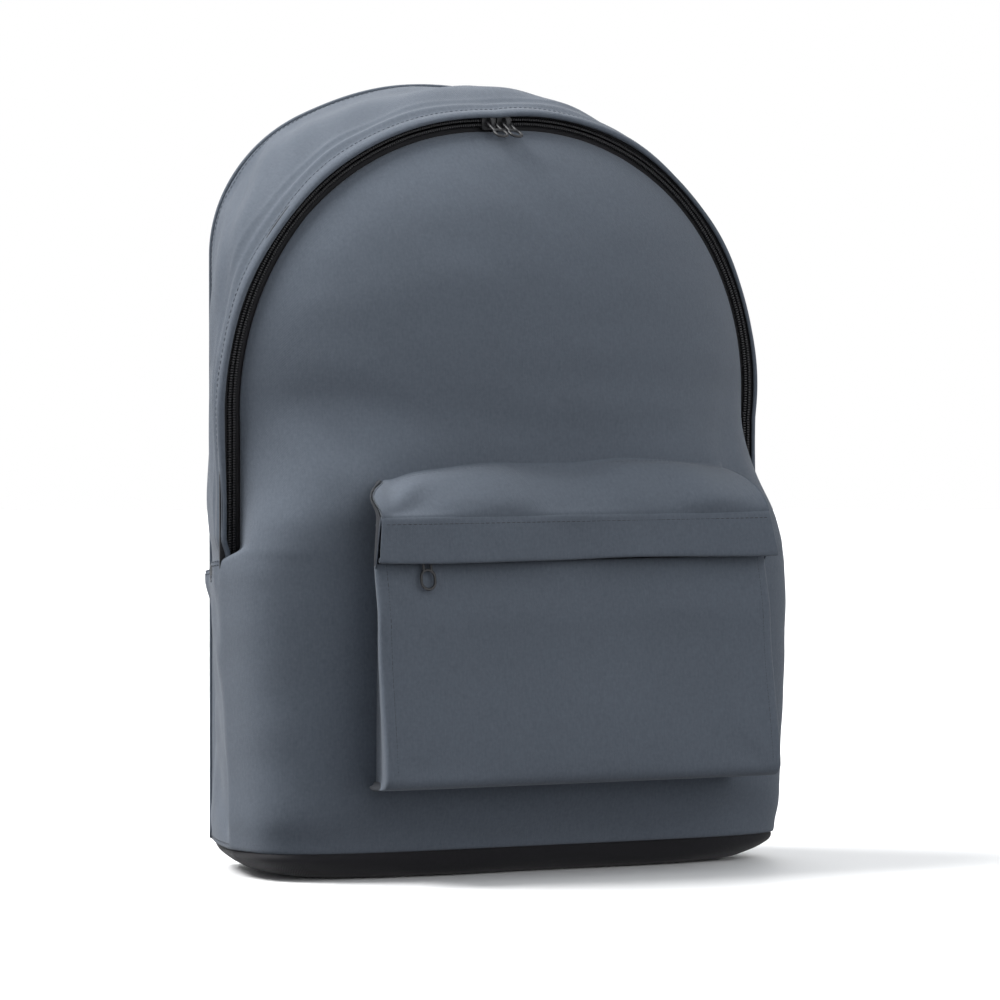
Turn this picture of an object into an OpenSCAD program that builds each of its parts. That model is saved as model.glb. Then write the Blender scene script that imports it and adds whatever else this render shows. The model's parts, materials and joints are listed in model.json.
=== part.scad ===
// Daypack: a domed main compartment with a wrap-around lower body, a zipped box
// pocket, a padded back with two shoulder straps, and a haul loop.
// Millimetres. +Z is up, the front faces -Y, and the origin is on the floor under
// the middle of the whole pack.

/* [Body] */
// Height of the crown above the floor
pack_h = 418; // [412:2:426]
// Width of the back panel
back_w = 260; // [254:2:264]
// Distance from the main zip to the outside of the back panel
back_f = 74; // [70:1:80]
// How far the front panel bulges forward of the main zip
bulge_f = 66; // [62:1:68]
// Height of the seam between the body and the base panel
seam_z = 14; // [13:1:18]
// Thickness of one fabric wall with its lining
wall = 2.4; // [2:0.1:2.6]

/* [Main zip] */
// Radius of the half circle that the main zip runs on, over the dome
zip_r = 157; // [154:1:159]
// Height of the middle of that half circle
zip_mid_z = 236; // [235:1:240]
// Height of the lower ends of the zip, where the side wrap begins
zip_end_z = 156; // [152:1:160]
// Height of the line on which the front panel folds open
fold_z = 226; // [223:1:228]

/* [Front pocket] */
// Furthest reach of the pocket forward of the main zip
pocket_f = 101; // [98:1:104]
// Width of the pocket at its lower edge
pocket_w = 238; // [232:2:242]
// Height of the pocket's lower edge
pocket_low = 48; // [46:1:52]
// Height of the seam along the top of the storm flap
flap_top = 188; // [186:1:190]
// Height of the storm flap's lower edge
flap_low = 165; // [163:1:167]

/* [Straps] */
// How far the shoulder straps bow behind the back panel
strap_bow = 34; // [28:1:40]
// Width of a padded shoulder strap at its widest
strap_w = 56; // [50:2:58]
// Thickness of a padded shoulder strap
strap_t = 12; // [10:1:13]
// Width of the adjusting webbing
webbing_w = 25; // [24:1:26]

/* [Hidden] */
$fn = 48;

fabric = "slategray";
lining = "dimgray";
black = [0.07, 0.07, 0.08];

gap = 0.4; // clear space between neighbouring soft pieces
zip_clear = 4.2; // half the width left free for the sliders
half_w = zip_r + zip_clear + wall; // the gusset's outer face at the zip
panel_edge = 5; // the front panel stops this far inside the zip's middle
back_half = back_w / 2;
y_zip = (pocket_f - back_f - strap_bow - strap_t / 2) / 2; // centres the whole pack's box
y_back = y_zip + back_f;
back_top = pack_h - 1;
back_rise = 94;
back_shoulder_r = 85;

// ---------- small helpers ----------

function flat(rows) = [for (row = rows) for (p = row) p];
function mix(a, b, t) = a + (b - a) * t;
function smooth(t) = let (c = max(0, min(1, t))) c * c * (3 - 2 * c);
// A point of the row frame from x, the distance forward of the main zip, and z
function at(x, f, z) = [x, y_zip - f, z];

// A Catmull-Rom curve through the points, with n steps between each two
function curve(p, n) = [
    for (i = [0:len(p) - 2]) for (k = [0:i == len(p) - 2 ? n : n - 1])
        let (t = k / n, a = p[max(i - 1, 0)], b = p[i], c = p[i + 1],
             d = p[min(i + 2, len(p) - 1)])
        0.5 * (2 * b + (c - a) * t + (2 * a - 5 * b + 4 * c - d) * t * t
               + (3 * b - a - 3 * c + d) * t * t * t)
];

// A closed sheet between two equal grids of points; "near" is the side the faces look out of
module sheet(near, far) {
    r = len(near);
    c = len(near[0]);
    m = r * c;
    function quad(a, b, p, q) = [[a, b, p], [a, p, q]];
    faces = concat(
        [for (i = [0:r - 2]) for (j = [0:c - 2])
            each quad(i * c + j, (i + 1) * c + j, (i + 1) * c + j + 1, i * c + j + 1)],
        [for (i = [0:r - 2]) for (j = [0:c - 2])
            each quad(m + i * c + j, m + i * c + j + 1, m + (i + 1) * c + j + 1, m + (i + 1) * c + j)],
        [for (j = [0:c - 2]) each quad(j, j + 1, m + j + 1, m + j)],
        [for (j = [0:c - 2])
            let (k = (r - 1) * c + j) each quad(k + 1, k, m + k, m + k + 1)],
        [for (i = [0:r - 2]) each quad((i + 1) * c, i * c, m + i * c, m + (i + 1) * c)],
        [for (i = [0:r - 2])
            let (k = i * c + c - 1) each quad(k, k + c, m + k + c, m + k)]
    );
    polyhedron(concat(flat(near), flat(far)), faces, convexity = 8);
}

// A closed tube through equal rings of points
module tube(rings) {
    n = len(rings);
    k = len(rings[0]);
    function side(i, j) = let (a = i * k + j, b = i * k + (j + 1) % k)
        [[a, b, b + k], [a, b + k, a + k]];
    faces = concat(
        [for (i = [0:n - 2]) for (j = [0:k - 1]) each side(i, j)],
        [[for (j = [k - 1:-1:0]) j]],
        [[for (j = [0:k - 1]) (n - 1) * k + j]]
    );
    polyhedron(flat(rings), faces, convexity = 6);
}

// An upright plate in the XZ plane: its front is f forward of the main zip
module plate(f, thick) {
    translate([0, y_zip - f + thick, 0]) rotate([90, 0, 0]) linear_extrude(thick) children();
}

// ---------- arches ----------

// The radius of an arch's top, from its half width, rise and shoulder radius
function top_r(half, rise, r) =
    rise == r ? r : ((half - r) ^ 2 + rise ^ 2 - r ^ 2) / (2 * (rise - r));
// The angle from the apex to where the shoulder begins
function top_angle(half, rise, r) =
    rise == r ? 45 : asin((half - r) / (top_r(half, rise, r) - r));

leg_span = 60; // stations past 90 run down an arch's straight legs

// A point [x, z] of an arch: station 0 is the apex, 90 the top of a leg, 150 its foot
function arch_point(s, half, top, rise, r, foot, off = 0) =
    let (m = min(abs(s), 90), leg = max(abs(s) - 90, 0) / leg_span, spring = top - rise,
         R = top_r(half, rise, r), side = s < 0 ? -1 : 1)
    m <= top_angle(half, rise, r)
        ? [side * (R + off) * sin(m), top - R + (R + off) * cos(m)]
        : [side * (half - r + (r + off) * sin(m)),
           spring + (r + off) * cos(m) - leg * (spring - foot)];

function zip_point(s, off = 0, foot = zip_end_z) =
    arch_point(s, zip_r, zip_mid_z + zip_r, zip_r, zip_r, foot, off);
function back_point(s, off = 0, foot = zip_end_z) =
    arch_point(s, back_half, back_top, back_rise, back_shoulder_r, foot, off);

stations = [each [-150:12:-102], each [-90:6:90], each [102:12:150]];

// The band between two offsets of the zip's arch
module zip_band(inside, outside, foot = zip_end_z) {
    polygon(concat([for (s = [-150, each [-90:3:90], 150]) zip_point(s, outside, foot)],
                   [for (s = [150, each [90:-3:-90], -150]) zip_point(s, inside, foot)]));
}

// The back panel's outline, set in by "off"
module back_outline(off) {
    polygon([for (s = [-150, each [-90:5:90], 150]) back_point(s, -off, seam_z + 1)]);
}

// ---------- body sections ----------

// The front changes from boxy to domed between these heights
box_top = 182;
dome_low = 252;
function dome_share(z) = smooth((z - box_top) / (dome_low - box_top));
// The two exponents of a level section of the front: how wide its flat middle is, and how
// steeply its sides fall back to the zip
function front_n(z) = mix(mix(4.5, 4, min(z / box_top, 1)), 2.2, dome_share(z));
function front_m(z) = mix(1 / front_n(z), 0.8, dome_share(z));
// How far the front bulges at the middle of a level section
function bulge_at(z) = bulge_f - 7 * (1 - smooth((z - seam_z) / 30));

// The body's half width at the zip's plane, at height z
function half_at(z) = z > zip_end_z ? zip_r - panel_edge
                                    : mix(half_w - 6, half_w, smooth(z / zip_end_z));

// A point of the front at height z, for u from 0, the middle, to 1, the side at "half"
function front_edge(u, z, t, half) =
    let (a = 90 * (1 - abs(u)))
    at((u < 0 ? -1 : 1) * (half - t) * cos(a) ^ (2 / front_n(z)),
       (bulge_at(z) - t) * sin(a) ^ (2 * front_m(z)), z);
// The front's distance forward of the zip at x and z
function front_f(x, z) =
    bulge_at(z) * (1 - min(abs(x) / half_at(z), 1) ^ front_n(z)) ^ front_m(z);

side_bulge = 3;
// A point of the side between the zip, v = 0, and the back edge, v = 1
function side_point(side, v, z, t) =
    at(side * (mix(half_at(z), back_half, v) + side_bulge * sin(180 * v) - t), -back_f * v, z);

// The level section: a from -2, the back's left edge, to 2, its right edge
function section(a, z, t) =
    abs(a) <= 1 ? front_edge(a, z, t, half_at(z)) : side_point(a < 0 ? -1 : 1, abs(a) - 1, z, t);

front_steps = [for (k = [-12:12]) k / 12];
side_steps = [1.02, 1.17, 1.34, 1.5, 1.66, 1.83, 2];
section_steps = [each [for (k = [6:-1:0]) -side_steps[k]], each front_steps, each side_steps];

// ---------- back ----------

cover_t = 2;
foam_t = 6;
lining_t = 1;
edge_in = 3.4; // the back stops inside the gusset's own thickness
layer_in = 5.6; // the foam and lining stop inside the sloping gusset

module back_panel() {
    color(black) plate(-back_f + cover_t, cover_t) back_outline(edge_in);
}

module back_foam() {
    color("gainsboro") plate(-back_f + cover_t + foam_t, foam_t) back_outline(layer_in);
}

module back_lining() {
    color(lining) plate(-back_f + cover_t + foam_t + lining_t, lining_t) back_outline(layer_in);
}

inside_f = -back_f + cover_t + foam_t + lining_t; // the lining's face
binding_w = 9;
binding_t = 2;

module back_seam_binding() {
    color(black) plate(inside_f + binding_t, binding_t) difference() {
        back_outline(layer_in + 1);
        back_outline(layer_in + 1 + binding_w);
    }
}

sleeve_w = 216;
sleeve_top = 264;
sleeve_depth = 20;
sleeve_wall = 2.5;
sleeve_low = 22;

module laptop_sleeve() {
    color(lining) translate([-sleeve_w / 2, y_zip - inside_f - sleeve_depth, sleeve_low])
        difference() {
            cube([sleeve_w, sleeve_depth, sleeve_top - sleeve_low]);
            translate([sleeve_wall, sleeve_wall, sleeve_wall])
                cube([sleeve_w - 2 * sleeve_wall, sleeve_depth, sleeve_top]);
        }
}

// ---------- base ----------

base_t = 3;
base_flat = 0.9; // the flat underside, as a share of the base's outline
base_mid_y = y_zip + 4;

// The base's outline at a share of its size and set in by t, at height z
function base_ring(share, z, t = 0) = [
    for (a = section_steps) let (p = section(a, seam_z, gap))
        [p.x * (share - t / half_w), base_mid_y + (p.y - base_mid_y) * (share - t / bulge_f), z]
];

module base_panel() {
    near = [base_ring(1, seam_z - gap), base_ring(0.99, 7), base_ring(0.955, 2.5),
            base_ring(base_flat - 0.02, 0.8)];
    far = [base_ring(1, seam_z - gap, 2.5), base_ring(0.99, 8, 2.8), base_ring(0.955, 4.6, 3),
           base_ring(base_flat - 0.02, 2, 2)];
    color(black) union() {
        linear_extrude(base_t) polygon([for (p = base_ring(base_flat, 0)) [p.x, p.y]]);
        rim(far, near);
    }
}

// A closed hoop between two stacks of rings
module rim(near, far) {
    r = len(near);
    c = len(near[0]);
    m = r * c;
    function quad(a, b, p, q) = [[a, b, p], [a, p, q]];
    function nx(j) = (j + 1) % c;
    faces = concat(
        [for (i = [0:r - 2]) for (j = [0:c - 1])
            each quad(i * c + j, (i + 1) * c + j, (i + 1) * c + nx(j), i * c + nx(j))],
        [for (i = [0:r - 2]) for (j = [0:c - 1])
            each quad(m + i * c + j, m + i * c + nx(j), m + (i + 1) * c + nx(j), m + (i + 1) * c + j)],
        [for (j = [0:c - 1]) each quad(j, nx(j), m + nx(j), m + j)],
        [for (j = [0:c - 1])
            let (k = (r - 1) * c) each quad(k + nx(j), k + j, m + k + j, m + k + nx(j))]
    );
    polyhedron(concat(flat(near), flat(far)), faces, convexity = 8);
}

// ---------- lower body, gusset and front panel ----------

body_rows = [0, 0.06, 0.14, 0.3, 0.55, 0.8, 1];
side_f = 5; // how far forward of the zip the front's side edges stand

module lower_body() {
    function grid(t) = [
        for (k = body_rows) [for (a = section_steps)
            section(a, mix(seam_z, zip_end_z - gap, k), t)]
    ];
    color(fabric) sheet(grid(0), grid(wall));
}

// The front between the two sides of the zip, from the side wrap up to the fold
module front_middle() {
    function grid(t) = [
        for (z = [zip_end_z, 172, 190, 208, fold_z - gap / 2]) [for (u = front_steps)
            let (p = front_edge(u, z, 0, zip_r - panel_edge))
            [p.x * (1 - t / zip_r), min(p.y, y_zip - side_f) + t, z]]
    ];
    color(fabric) sheet(grid(0), grid(wall));
}

gusset_steps = [0, 0.12, 0.3, 0.5, 0.7, 0.88, 1];

// A point of the gusset: station s along the arch, v from the zip to the back
function gusset_point(s, v, t) =
    let (a = zip_point(s, half_w - zip_r - t), b = back_point(s, -t), m = min(abs(s), 90),
         swell = side_bulge * sin(180 * v), side = s < 0 ? -1 : 1,
         x = mix(a.x, b.x, v) + side * swell * sin(m), z = mix(a.y, b.y, v) + swell * cos(m))
    at(x, -mix(tape_f + gap, back_f, v), z);

module top_gusset() {
    function grid(t) = [for (v = gusset_steps) [for (s = stations) gusset_point(s, v, t)]];
    color(fabric) sheet(grid(wall), grid(0));
}

lip_f = 4.4; // how far the lip stands forward of the zip tape

module zip_storm_flap() {
    color(fabric) plate(lip_f, lip_f - gap) zip_band(zip_clear, half_w - zip_r);
}

panel_rows = [0.02, 0.15, 0.3, 0.45, 0.6, 0.72, 0.82, 0.9, 0.96, 1];

// A point of the front panel on the ray from the middle of the fold to the zip's arch
function panel_point(s, r, t) =
    let (low = fold_z + gap / 2, a = zip_point(s, -panel_edge, low), z = mix(low, a.y, r))
    at(a.x * r, side_f - t + (bulge_f - side_f) * (1 - (r * 0.998) ^ front_n(z)) ^ front_m(z), z);

module front_panel() {
    function grid(t) = [for (r = panel_rows)
        [for (s = [-150, -120, each [-90:6:90], 120, 150]) panel_point(s, r, t)]];
    color(fabric) sheet(grid(wall), grid(0));
}

// ---------- zips ----------

tape_t = 0.8;
coil_gap = 0.65; // the sliders' posts run in the gap between the coils
coil_out = 2.3;
coil_t = 2;
tape_f = tape_t / 2;

module main_zip_outer_tape() {
    color(black) plate(tape_f, tape_t) zip_band(coil_gap, zip_clear + wall - gap);
}

module main_zip_outer_coil() {
    color(black) plate(tape_f + coil_t, coil_t) zip_band(coil_gap, coil_out);
}

module main_zip_inner_tape() {
    color(black) plate(tape_f, tape_t) zip_band(-zip_clear - 5, -coil_gap, fold_z + gap / 2);
}

module main_zip_inner_coil() {
    color(black) plate(tape_f + coil_t, coil_t) zip_band(-coil_out, -coil_gap, fold_z + gap / 2);
}

// The inner half of the zip below the fold, which stays with the body
module zip_lower_ends() {
    for (side = [-1, 1]) color(black) {
        plate(tape_f, tape_t) translate([side * (zip_r - 5) - 4.3, zip_end_z])
            square([8.6, fold_z - gap / 2 - zip_end_z]);
        plate(tape_f + coil_t, coil_t + tape_t / 2)
            translate([side * (zip_r - (coil_gap + coil_out) / 2) - (coil_out - coil_gap) / 2, zip_end_z])
                square([coil_out - coil_gap, fold_z - gap / 2 - zip_end_z]);
    }
}

slider_l = 8.4;
slider_w = 7;
plate_t = 1;
slider_rest = 4.6; // how far each main slider's middle is from the apex at rest
wire = 1.5;
ring_r = 3.25;
main_drop = 12; // from a slider's bail to the middle of its pull's ring
pocket_drop = 14.8;
pocket_ring_r = 4;
bail_r = 1.9;

// A slider in its own frame: X along the zip, Z across it, -Y out of the tape
module slider_shape() {
    front = tape_f + coil_t + 0.35;
    back = tape_f + 0.3;
    color(black) {
        for (f = [-front - plate_t, back])
            translate([0, f, 0]) rotate([-90, 0, 0]) linear_extrude(plate_t)
                offset(1.5) square([slider_l - 3, slider_w - 3], center = true);
        translate([-1.5, -front - 0.5, -0.45]) cube([3, front + back + 1, 0.9]);
        for (side = [-1, 1])
            translate([-slider_l / 2 + 1.5, -front - 0.5, side * (slider_w / 2 - 0.5) - 0.5])
                cube([slider_l - 3, front - tape_f + 0.1, 1]);
        // the bail that the pull hangs on
        translate([0, -front - plate_t - bail_r + 0.2, 0]) rotate([0, 90, 0]) difference() {
            cylinder(r = bail_r + 0.9, h = 1.8, center = true);
            cylinder(r = bail_r - 0.55, h = 3, center = true);
        }
    }
}

bail_f = tape_f + coil_t + 0.35 + plate_t + bail_r - 0.2;

// A wire pull in its own frame: it hangs along -Z from the bail at the origin, and ends in
// a ring of radius r whose straight sides are "long"
module pull_shape(drop, long, r) {
    leg_x = 2.2;
    leg_z = long / 2 - drop + sqrt(r ^ 2 - leg_x ^ 2) + wire / 8;
    color(black) {
        rotate([0, 90, 0]) cylinder(r = wire / 2, h = 5.2, center = true);
        for (side = [-1, 1]) {
            translate([side * leg_x, 0, leg_z]) cylinder(r = wire / 2, h = -leg_z);
            translate([side * r, 0, -drop - long / 2]) cylinder(r = wire / 2, h = long);
            translate([0, 0, -drop + side * long / 2]) rotate([90, 0, 0])
                rotate([0, 0, side > 0 ? 0 : 180]) rotate_extrude(angle = 180)
                    translate([r, 0]) circle(wire / 2);
        }
    }
}

module on_main_zip(side) {
    translate([0, y_zip, zip_mid_z])
        rotate([0, side * slider_rest / zip_r * 180 / PI, 0])
            translate([0, 0, zip_r]) children();
}

pull_lean = 62; // the main pulls lie forward on the bulge of the front panel

module main_slider(side) {
    on_main_zip(side) slider_shape();
}

module main_pull(side) {
    on_main_zip(side) translate([0, -bail_f, 0]) rotate([-pull_lean, 0, 0]) pull_shape(main_drop, 1, ring_r);
}

// ---------- front pocket ----------

pocket_top = 215;
pocket_zip_z = 171;
pocket_zip_f = 82;
pocket_zip_half = 104;
pocket_wall_t = 2;
pocket_wall_top = 165;
pocket_tuck = 12; // the pocket's sides run inward to where they are sewn on
pocket_round = 7; // how far the face's edges fall back
pocket_bend = 132; // above this the face leans back under the flap

// The pocket's face at the middle and its half width, from its height
function pocket_face(z) = z > pocket_bend ? mix(91.5, 85.5, smooth((z - pocket_bend) / 36))
                                         : mix(pocket_f, 91.5, smooth((z - pocket_low) / 84));
function pocket_half(z) = mix(pocket_w / 2, pocket_w / 2 - 2, (z - pocket_low) / 180);

// The pocket's wall as a U: u from -1.5, on the body, round the front to 1.5
function pocket_u(u, z, t) =
    let (h = pocket_half(z) - t, f = pocket_face(z) - t, side = u < 0 ? -1 : 1, a = abs(u),
         back = front_f(h - pocket_tuck, z) + gap)
    a > 1 ? at(side * (h - pocket_tuck * smooth((a - 1) * 2)),
               mix(f - pocket_round, back, (a - 1) * 2), z)
          : at(side * h * min(a * 1.02, 1), f - pocket_round * a ^ 8, z);

u_steps = [-1.5, -1.3, -1.1, -1, -0.97, -0.9, -0.75, -0.5, -0.25, 0,
           0.25, 0.5, 0.75, 0.9, 0.97, 1, 1.1, 1.3, 1.5];

module pocket_wall() {
    function grid(t) = [for (z = [pocket_low + 4, 64, 82, 100, 116, 132, 144, 155, pocket_wall_top])
        [for (u = u_steps) pocket_u(u, z, t)]];
    color(fabric) sheet(grid(0), grid(pocket_wall_t));
}

// The pocket's bottom, from the lower edge of its wall back to the body
module pocket_bottom() {
    edge = [for (u = u_steps) if (abs(u) <= 1) pocket_u(u, pocket_low + 4, 0)];
    tuck = 1 - pocket_tuck / pocket_half(pocket_low); // runs inward like the sides
    body = [for (p = edge) [p.x * tuck, y_zip - front_f(p.x * tuck, pocket_low + 2) - gap]];
    outline = concat([for (p = edge) [p.x, p.y]], [for (k = [len(body) - 1:-1:0]) body[k]]);
    color(fabric) translate([0, 0, pocket_low + 4 - gap - pocket_wall_t])
        linear_extrude(pocket_wall_t) polygon(outline);
}

hood_f = 88.6; // the hood's face above the zip
hood_bend = 197; // the hood turns down at this height
hood_rows = [[0, 0], [0.25, 0.35], [0.5, 0.65], [0.75, 0.88], [1, 1], [1.02, 1.35], [1.04, 1.8]];

// The hood runs from the body's front, over the top and down to the zip
function hood_point(u, k, t) =
    let (r = hood_rows[k], h = pocket_w / 2 - 5 - t, x = h * u,
         body_f = front_f(x, pocket_top - 3) + gap,
         z = k < 5 ? mix(pocket_top, hood_bend, r.y ^ 2) - (t > 0 ? t : 0)
                   : mix(hood_bend, flap_top - 4, (r.y - 1) / 0.8),
         f = mix(body_f, hood_f - 5 * abs(u) ^ 8, min(r.x, 1)) + max(r.x - 1, 0) * 10 - (k > 2 ? t : 0))
    at(x, max(f, body_f), z);

module pocket_hood() {
    us = [-1, -0.96, -0.85, -0.6, -0.3, 0, 0.3, 0.6, 0.85, 0.96, 1];
    function grid(t) = [for (k = [6:-1:0]) [for (u = us) hood_point(u, k, t)]];
    color(fabric) sheet(grid(0), grid(2));
}

module pocket_storm_flap() {
    thick = 2;
    lean = 2.8;
    half = pocket_half(flap_top) + 0.5;
    f = 91.4;
    function row(z, t) = [for (u = [-1, -0.94, -0.86, -0.76, -0.5, 0, 0.5, 0.76, 0.86, 0.94, 1])
        at(half * u, f - t - 5 * abs(u) ^ 8 + lean * (flap_top - z) / (flap_top - flap_low), z)];
    zs = [flap_low, 172, 180, flap_top];
    color(fabric) sheet([for (z = zs) row(z, 0)], [for (z = zs) row(z, thick)]);
}

module pocket_zip_tape() {
    color(black) for (side = [-1, 1])
        translate([-pocket_zip_half, y_zip - pocket_zip_f - tape_f,
                   pocket_zip_z + (side > 0 ? coil_gap : -coil_gap - 5)])
            cube([2 * pocket_zip_half, tape_t, 5]);
}

module pocket_zip_coil() {
    color(black) for (side = [-1, 1])
        translate([-pocket_zip_half, y_zip - pocket_zip_f - tape_f - coil_t,
                   pocket_zip_z + (side > 0 ? coil_gap : -coil_out)])
            cube([2 * pocket_zip_half, coil_t, coil_out - coil_gap]);
}

pocket_slider_x = -90;

module pocket_slider() {
    translate([pocket_slider_x, y_zip - pocket_zip_f, pocket_zip_z]) slider_shape();
}

pocket_pull_lean = 9;

module pocket_pull() {
    translate([pocket_slider_x, y_zip - pocket_zip_f - bail_f, pocket_zip_z])
        rotate([-pocket_pull_lean, 0, 0]) pull_shape(pocket_drop, 2, pocket_ring_r);
}

// ---------- straps and haul loop ----------

// A rounded flat section of width w and thickness t, across the direction "dir"
function flat_ring(p, dir, w, t) =
    let (d = dir / norm(dir), ax = cross([0, 1, 0], d), a = ax / norm(ax), b = cross(d, a))
    [for (k = [0:11]) let (c = cos(k * 30), s = sin(k * 30))
        p + a * (w / 2) * sign(c) * abs(c) ^ 0.35 + b * (t / 2) * sign(s) * abs(s) ^ 0.6];

// The strap's middle line: x, distance behind the back panel as a share of the bow, z
strap_line = [[64, 0.26, 376], [66, 0.48, 342], [69, 0.82, 297], [74, 1, 247], [79, 0.94, 197],
              [82, 0.72, 157], [84, 0.5, 126]];

module shoulder_strap(side) {
    line = curve([for (p = strap_line) [side * p.x, y_back + p.y * strap_bow, p.z]], 4);
    n = len(line) - 1;
    color(black) tube([for (i = [0:n])
        let (s = i / n, d = line[min(i + 1, n)] - line[max(i - 1, 0)],
             w = strap_w * mix(mix(0.85, 1, smooth(s * 3)), 0.62, smooth((s - 0.55) * 2.2)),
             end = min(1, 0.55 + 6 * min(s, 1 - s)))
        flat_ring(line[i], d, w, strap_t * end)]);
}

yoke_w = 190;
yoke_low = 352;
yoke_t = 2;

// The yoke patch that the straps and the haul loop are sewn under
module strap_yoke() {
    color(black) plate(-back_f - gap / 2, yoke_t) intersection() {
        back_outline(14);
        translate([-yoke_w / 2, yoke_low]) square([yoke_w, 60]);
    }
}

lock_x = 86;
lock_z = 100;
lock_y = y_back + strap_bow * 0.42;
lock_turn = 12; // the webbing runs outward to the base's corner
lock_w = 33;
lock_bar_r = 2;
lock_reach = 11; // from the lock's middle to its end bars
slot_w = webbing_w + 2;

// Puts a piece drawn in the lock's own frame in place
module at_lock(side) {
    translate([side * lock_x, lock_y, lock_z]) rotate([0, -side * lock_turn, 0]) children();
}

module ladder_lock(side) {
    color(black) at_lock(side) {
        for (z = [-lock_reach, 0, lock_reach])
            translate([0, 0, z]) rotate([0, 90, 0])
                cylinder(r = z == 0 ? 1.6 : lock_bar_r, h = slot_w + 2, center = true);
        for (e = [-1, 1])
            translate([e * (slot_w / 2 + 1.4), 0, 0])
                cube([2.8, 4.4, 2 * lock_reach + 4], center = true);
        translate([0, 1.6, -lock_reach - 1.4]) cube([slot_w - 2, 1.6, 3.4], center = true);
    }
}

keeper_t = 1.5;

// The short webbing loop that holds the lock's top bar to the strap
module strap_keeper(side) {
    r = lock_bar_r + 0.25;
    color(black) at_lock(side) translate([0, 0, lock_reach]) {
        rotate([0, 90, 0]) difference() {
            cylinder(r = r + keeper_t, h = webbing_w, center = true);
            cylinder(r = r, h = webbing_w + 2, center = true);
        }
        translate([-webbing_w / 2, -keeper_t, r + keeper_t - 0.6])
            cube([webbing_w, 2 * keeper_t, 11.2]);
    }
}

webbing_t = 1.4;
anchor_drop = 84;

// The outline of a band of thickness t along a path in a plane
function band(path, t) =
    let (n = len(path) - 1,
         nrm = [for (i = [0:n]) let (d = path[min(i + 1, n)] - path[max(i - 1, 0)])
                [-d.y, d.x] / norm(d)])
    concat([for (i = [0:n]) path[i] + nrm[i] * t / 2],
           [for (i = [n:-1:0]) path[i] - nrm[i] * t / 2]);

// The adjusting webbing: up from the base's corner, over the lock's middle bar and down as a tail
module lower_webbing(side) {
    r = 1.6 + 0.25 + webbing_t / 2;
    path = concat(
        curve([[-11.2, -anchor_drop + 8], [-9, -60], [-5.2, -30], [-4.4, -12], [-3.4, -2],
               [-2.2, 2.6]], 4),
        [for (a = [125:-25:-50]) [r * 1.25 * cos(a), 0.9 + r * 1.12 * sin(a)]],
        curve([[0.2, -4.4], [-1.9, -8], [-2.9, -11.5], [-1.4, -17], [2.5, -30], [3, -52]], 4)
    );
    color(black) at_lock(side) rotate([90, 0, 90])
        translate([0, 0, -webbing_w / 2]) linear_extrude(webbing_w) polygon(band(path, webbing_t));
}

// The sewn triangle that holds the webbing to the base's corner
module strap_anchor(side) {
    color(black) at_lock(side) translate([0, y_back + gap / 2 - lock_y, 0])
        rotate([-90, 0, 0]) linear_extrude(2)
            polygon([[-webbing_w / 2 - 1, anchor_drop - 8], [webbing_w / 2 + 1, anchor_drop - 8],
                     [webbing_w / 2 + 6, anchor_drop + 2], [-webbing_w / 2 - 6, anchor_drop + 2]]);
}

loop_half = 27;
loop_drop = 48;
loop_hinge = [0, y_back + 5.5, 391];
loop_lean = 24;

module haul_loop() {
    path = curve([[-loop_half, 0, 1], [-loop_half, 0, -8], [-loop_half + 6, 0, -loop_drop + 16],
                  [-loop_half + 20, 0, -loop_drop + 2], [0, 0, -loop_drop],
                  [loop_half - 20, 0, -loop_drop + 2], [loop_half - 6, 0, -loop_drop + 16],
                  [loop_half, 0, -8], [loop_half, 0, 1]], 4);
    n = len(path) - 1;
    color(black) translate(loop_hinge) rotate([loop_lean, 0, 0])
        tube([for (i = [0:n])
            let (d = path[min(i + 1, n)] - path[max(i - 1, 0)], s = smooth(abs(2 * i / n - 1)))
            flat_ring(path[i], d, mix(11, 16, s), mix(5.5, 3, s))]);
}

// ---------- nodes ----------

back_panel();
back_foam();
back_lining();
back_seam_binding();
laptop_sleeve();
base_panel();
lower_body();
front_middle();
top_gusset();
zip_storm_flap();
main_zip_outer_tape();
main_zip_outer_coil();
zip_lower_ends();
front_panel();
main_zip_inner_tape();
main_zip_inner_coil();
main_slider(-1);  // main_slider_left
main_slider(1);  // main_slider_right
main_pull(-1);  // main_pull_left
main_pull(1);  // main_pull_right
pocket_wall();
pocket_bottom();
pocket_hood();
pocket_storm_flap();
pocket_zip_tape();
pocket_zip_coil();
pocket_slider();
pocket_pull();
strap_yoke();
shoulder_strap(-1);  // shoulder_strap_left
shoulder_strap(1);  // shoulder_strap_right
strap_keeper(-1);  // strap_keeper_left
strap_keeper(1);  // strap_keeper_right
ladder_lock(-1);  // ladder_lock_left
ladder_lock(1);  // ladder_lock_right
lower_webbing(-1);  // lower_webbing_left
lower_webbing(1);  // lower_webbing_right
strap_anchor(-1);  // strap_anchor_left
strap_anchor(1);  // strap_anchor_right
haul_loop();
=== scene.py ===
import bpy
import bmesh
import json
import math
import numpy as np
from mathutils import Matrix, Vector


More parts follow.
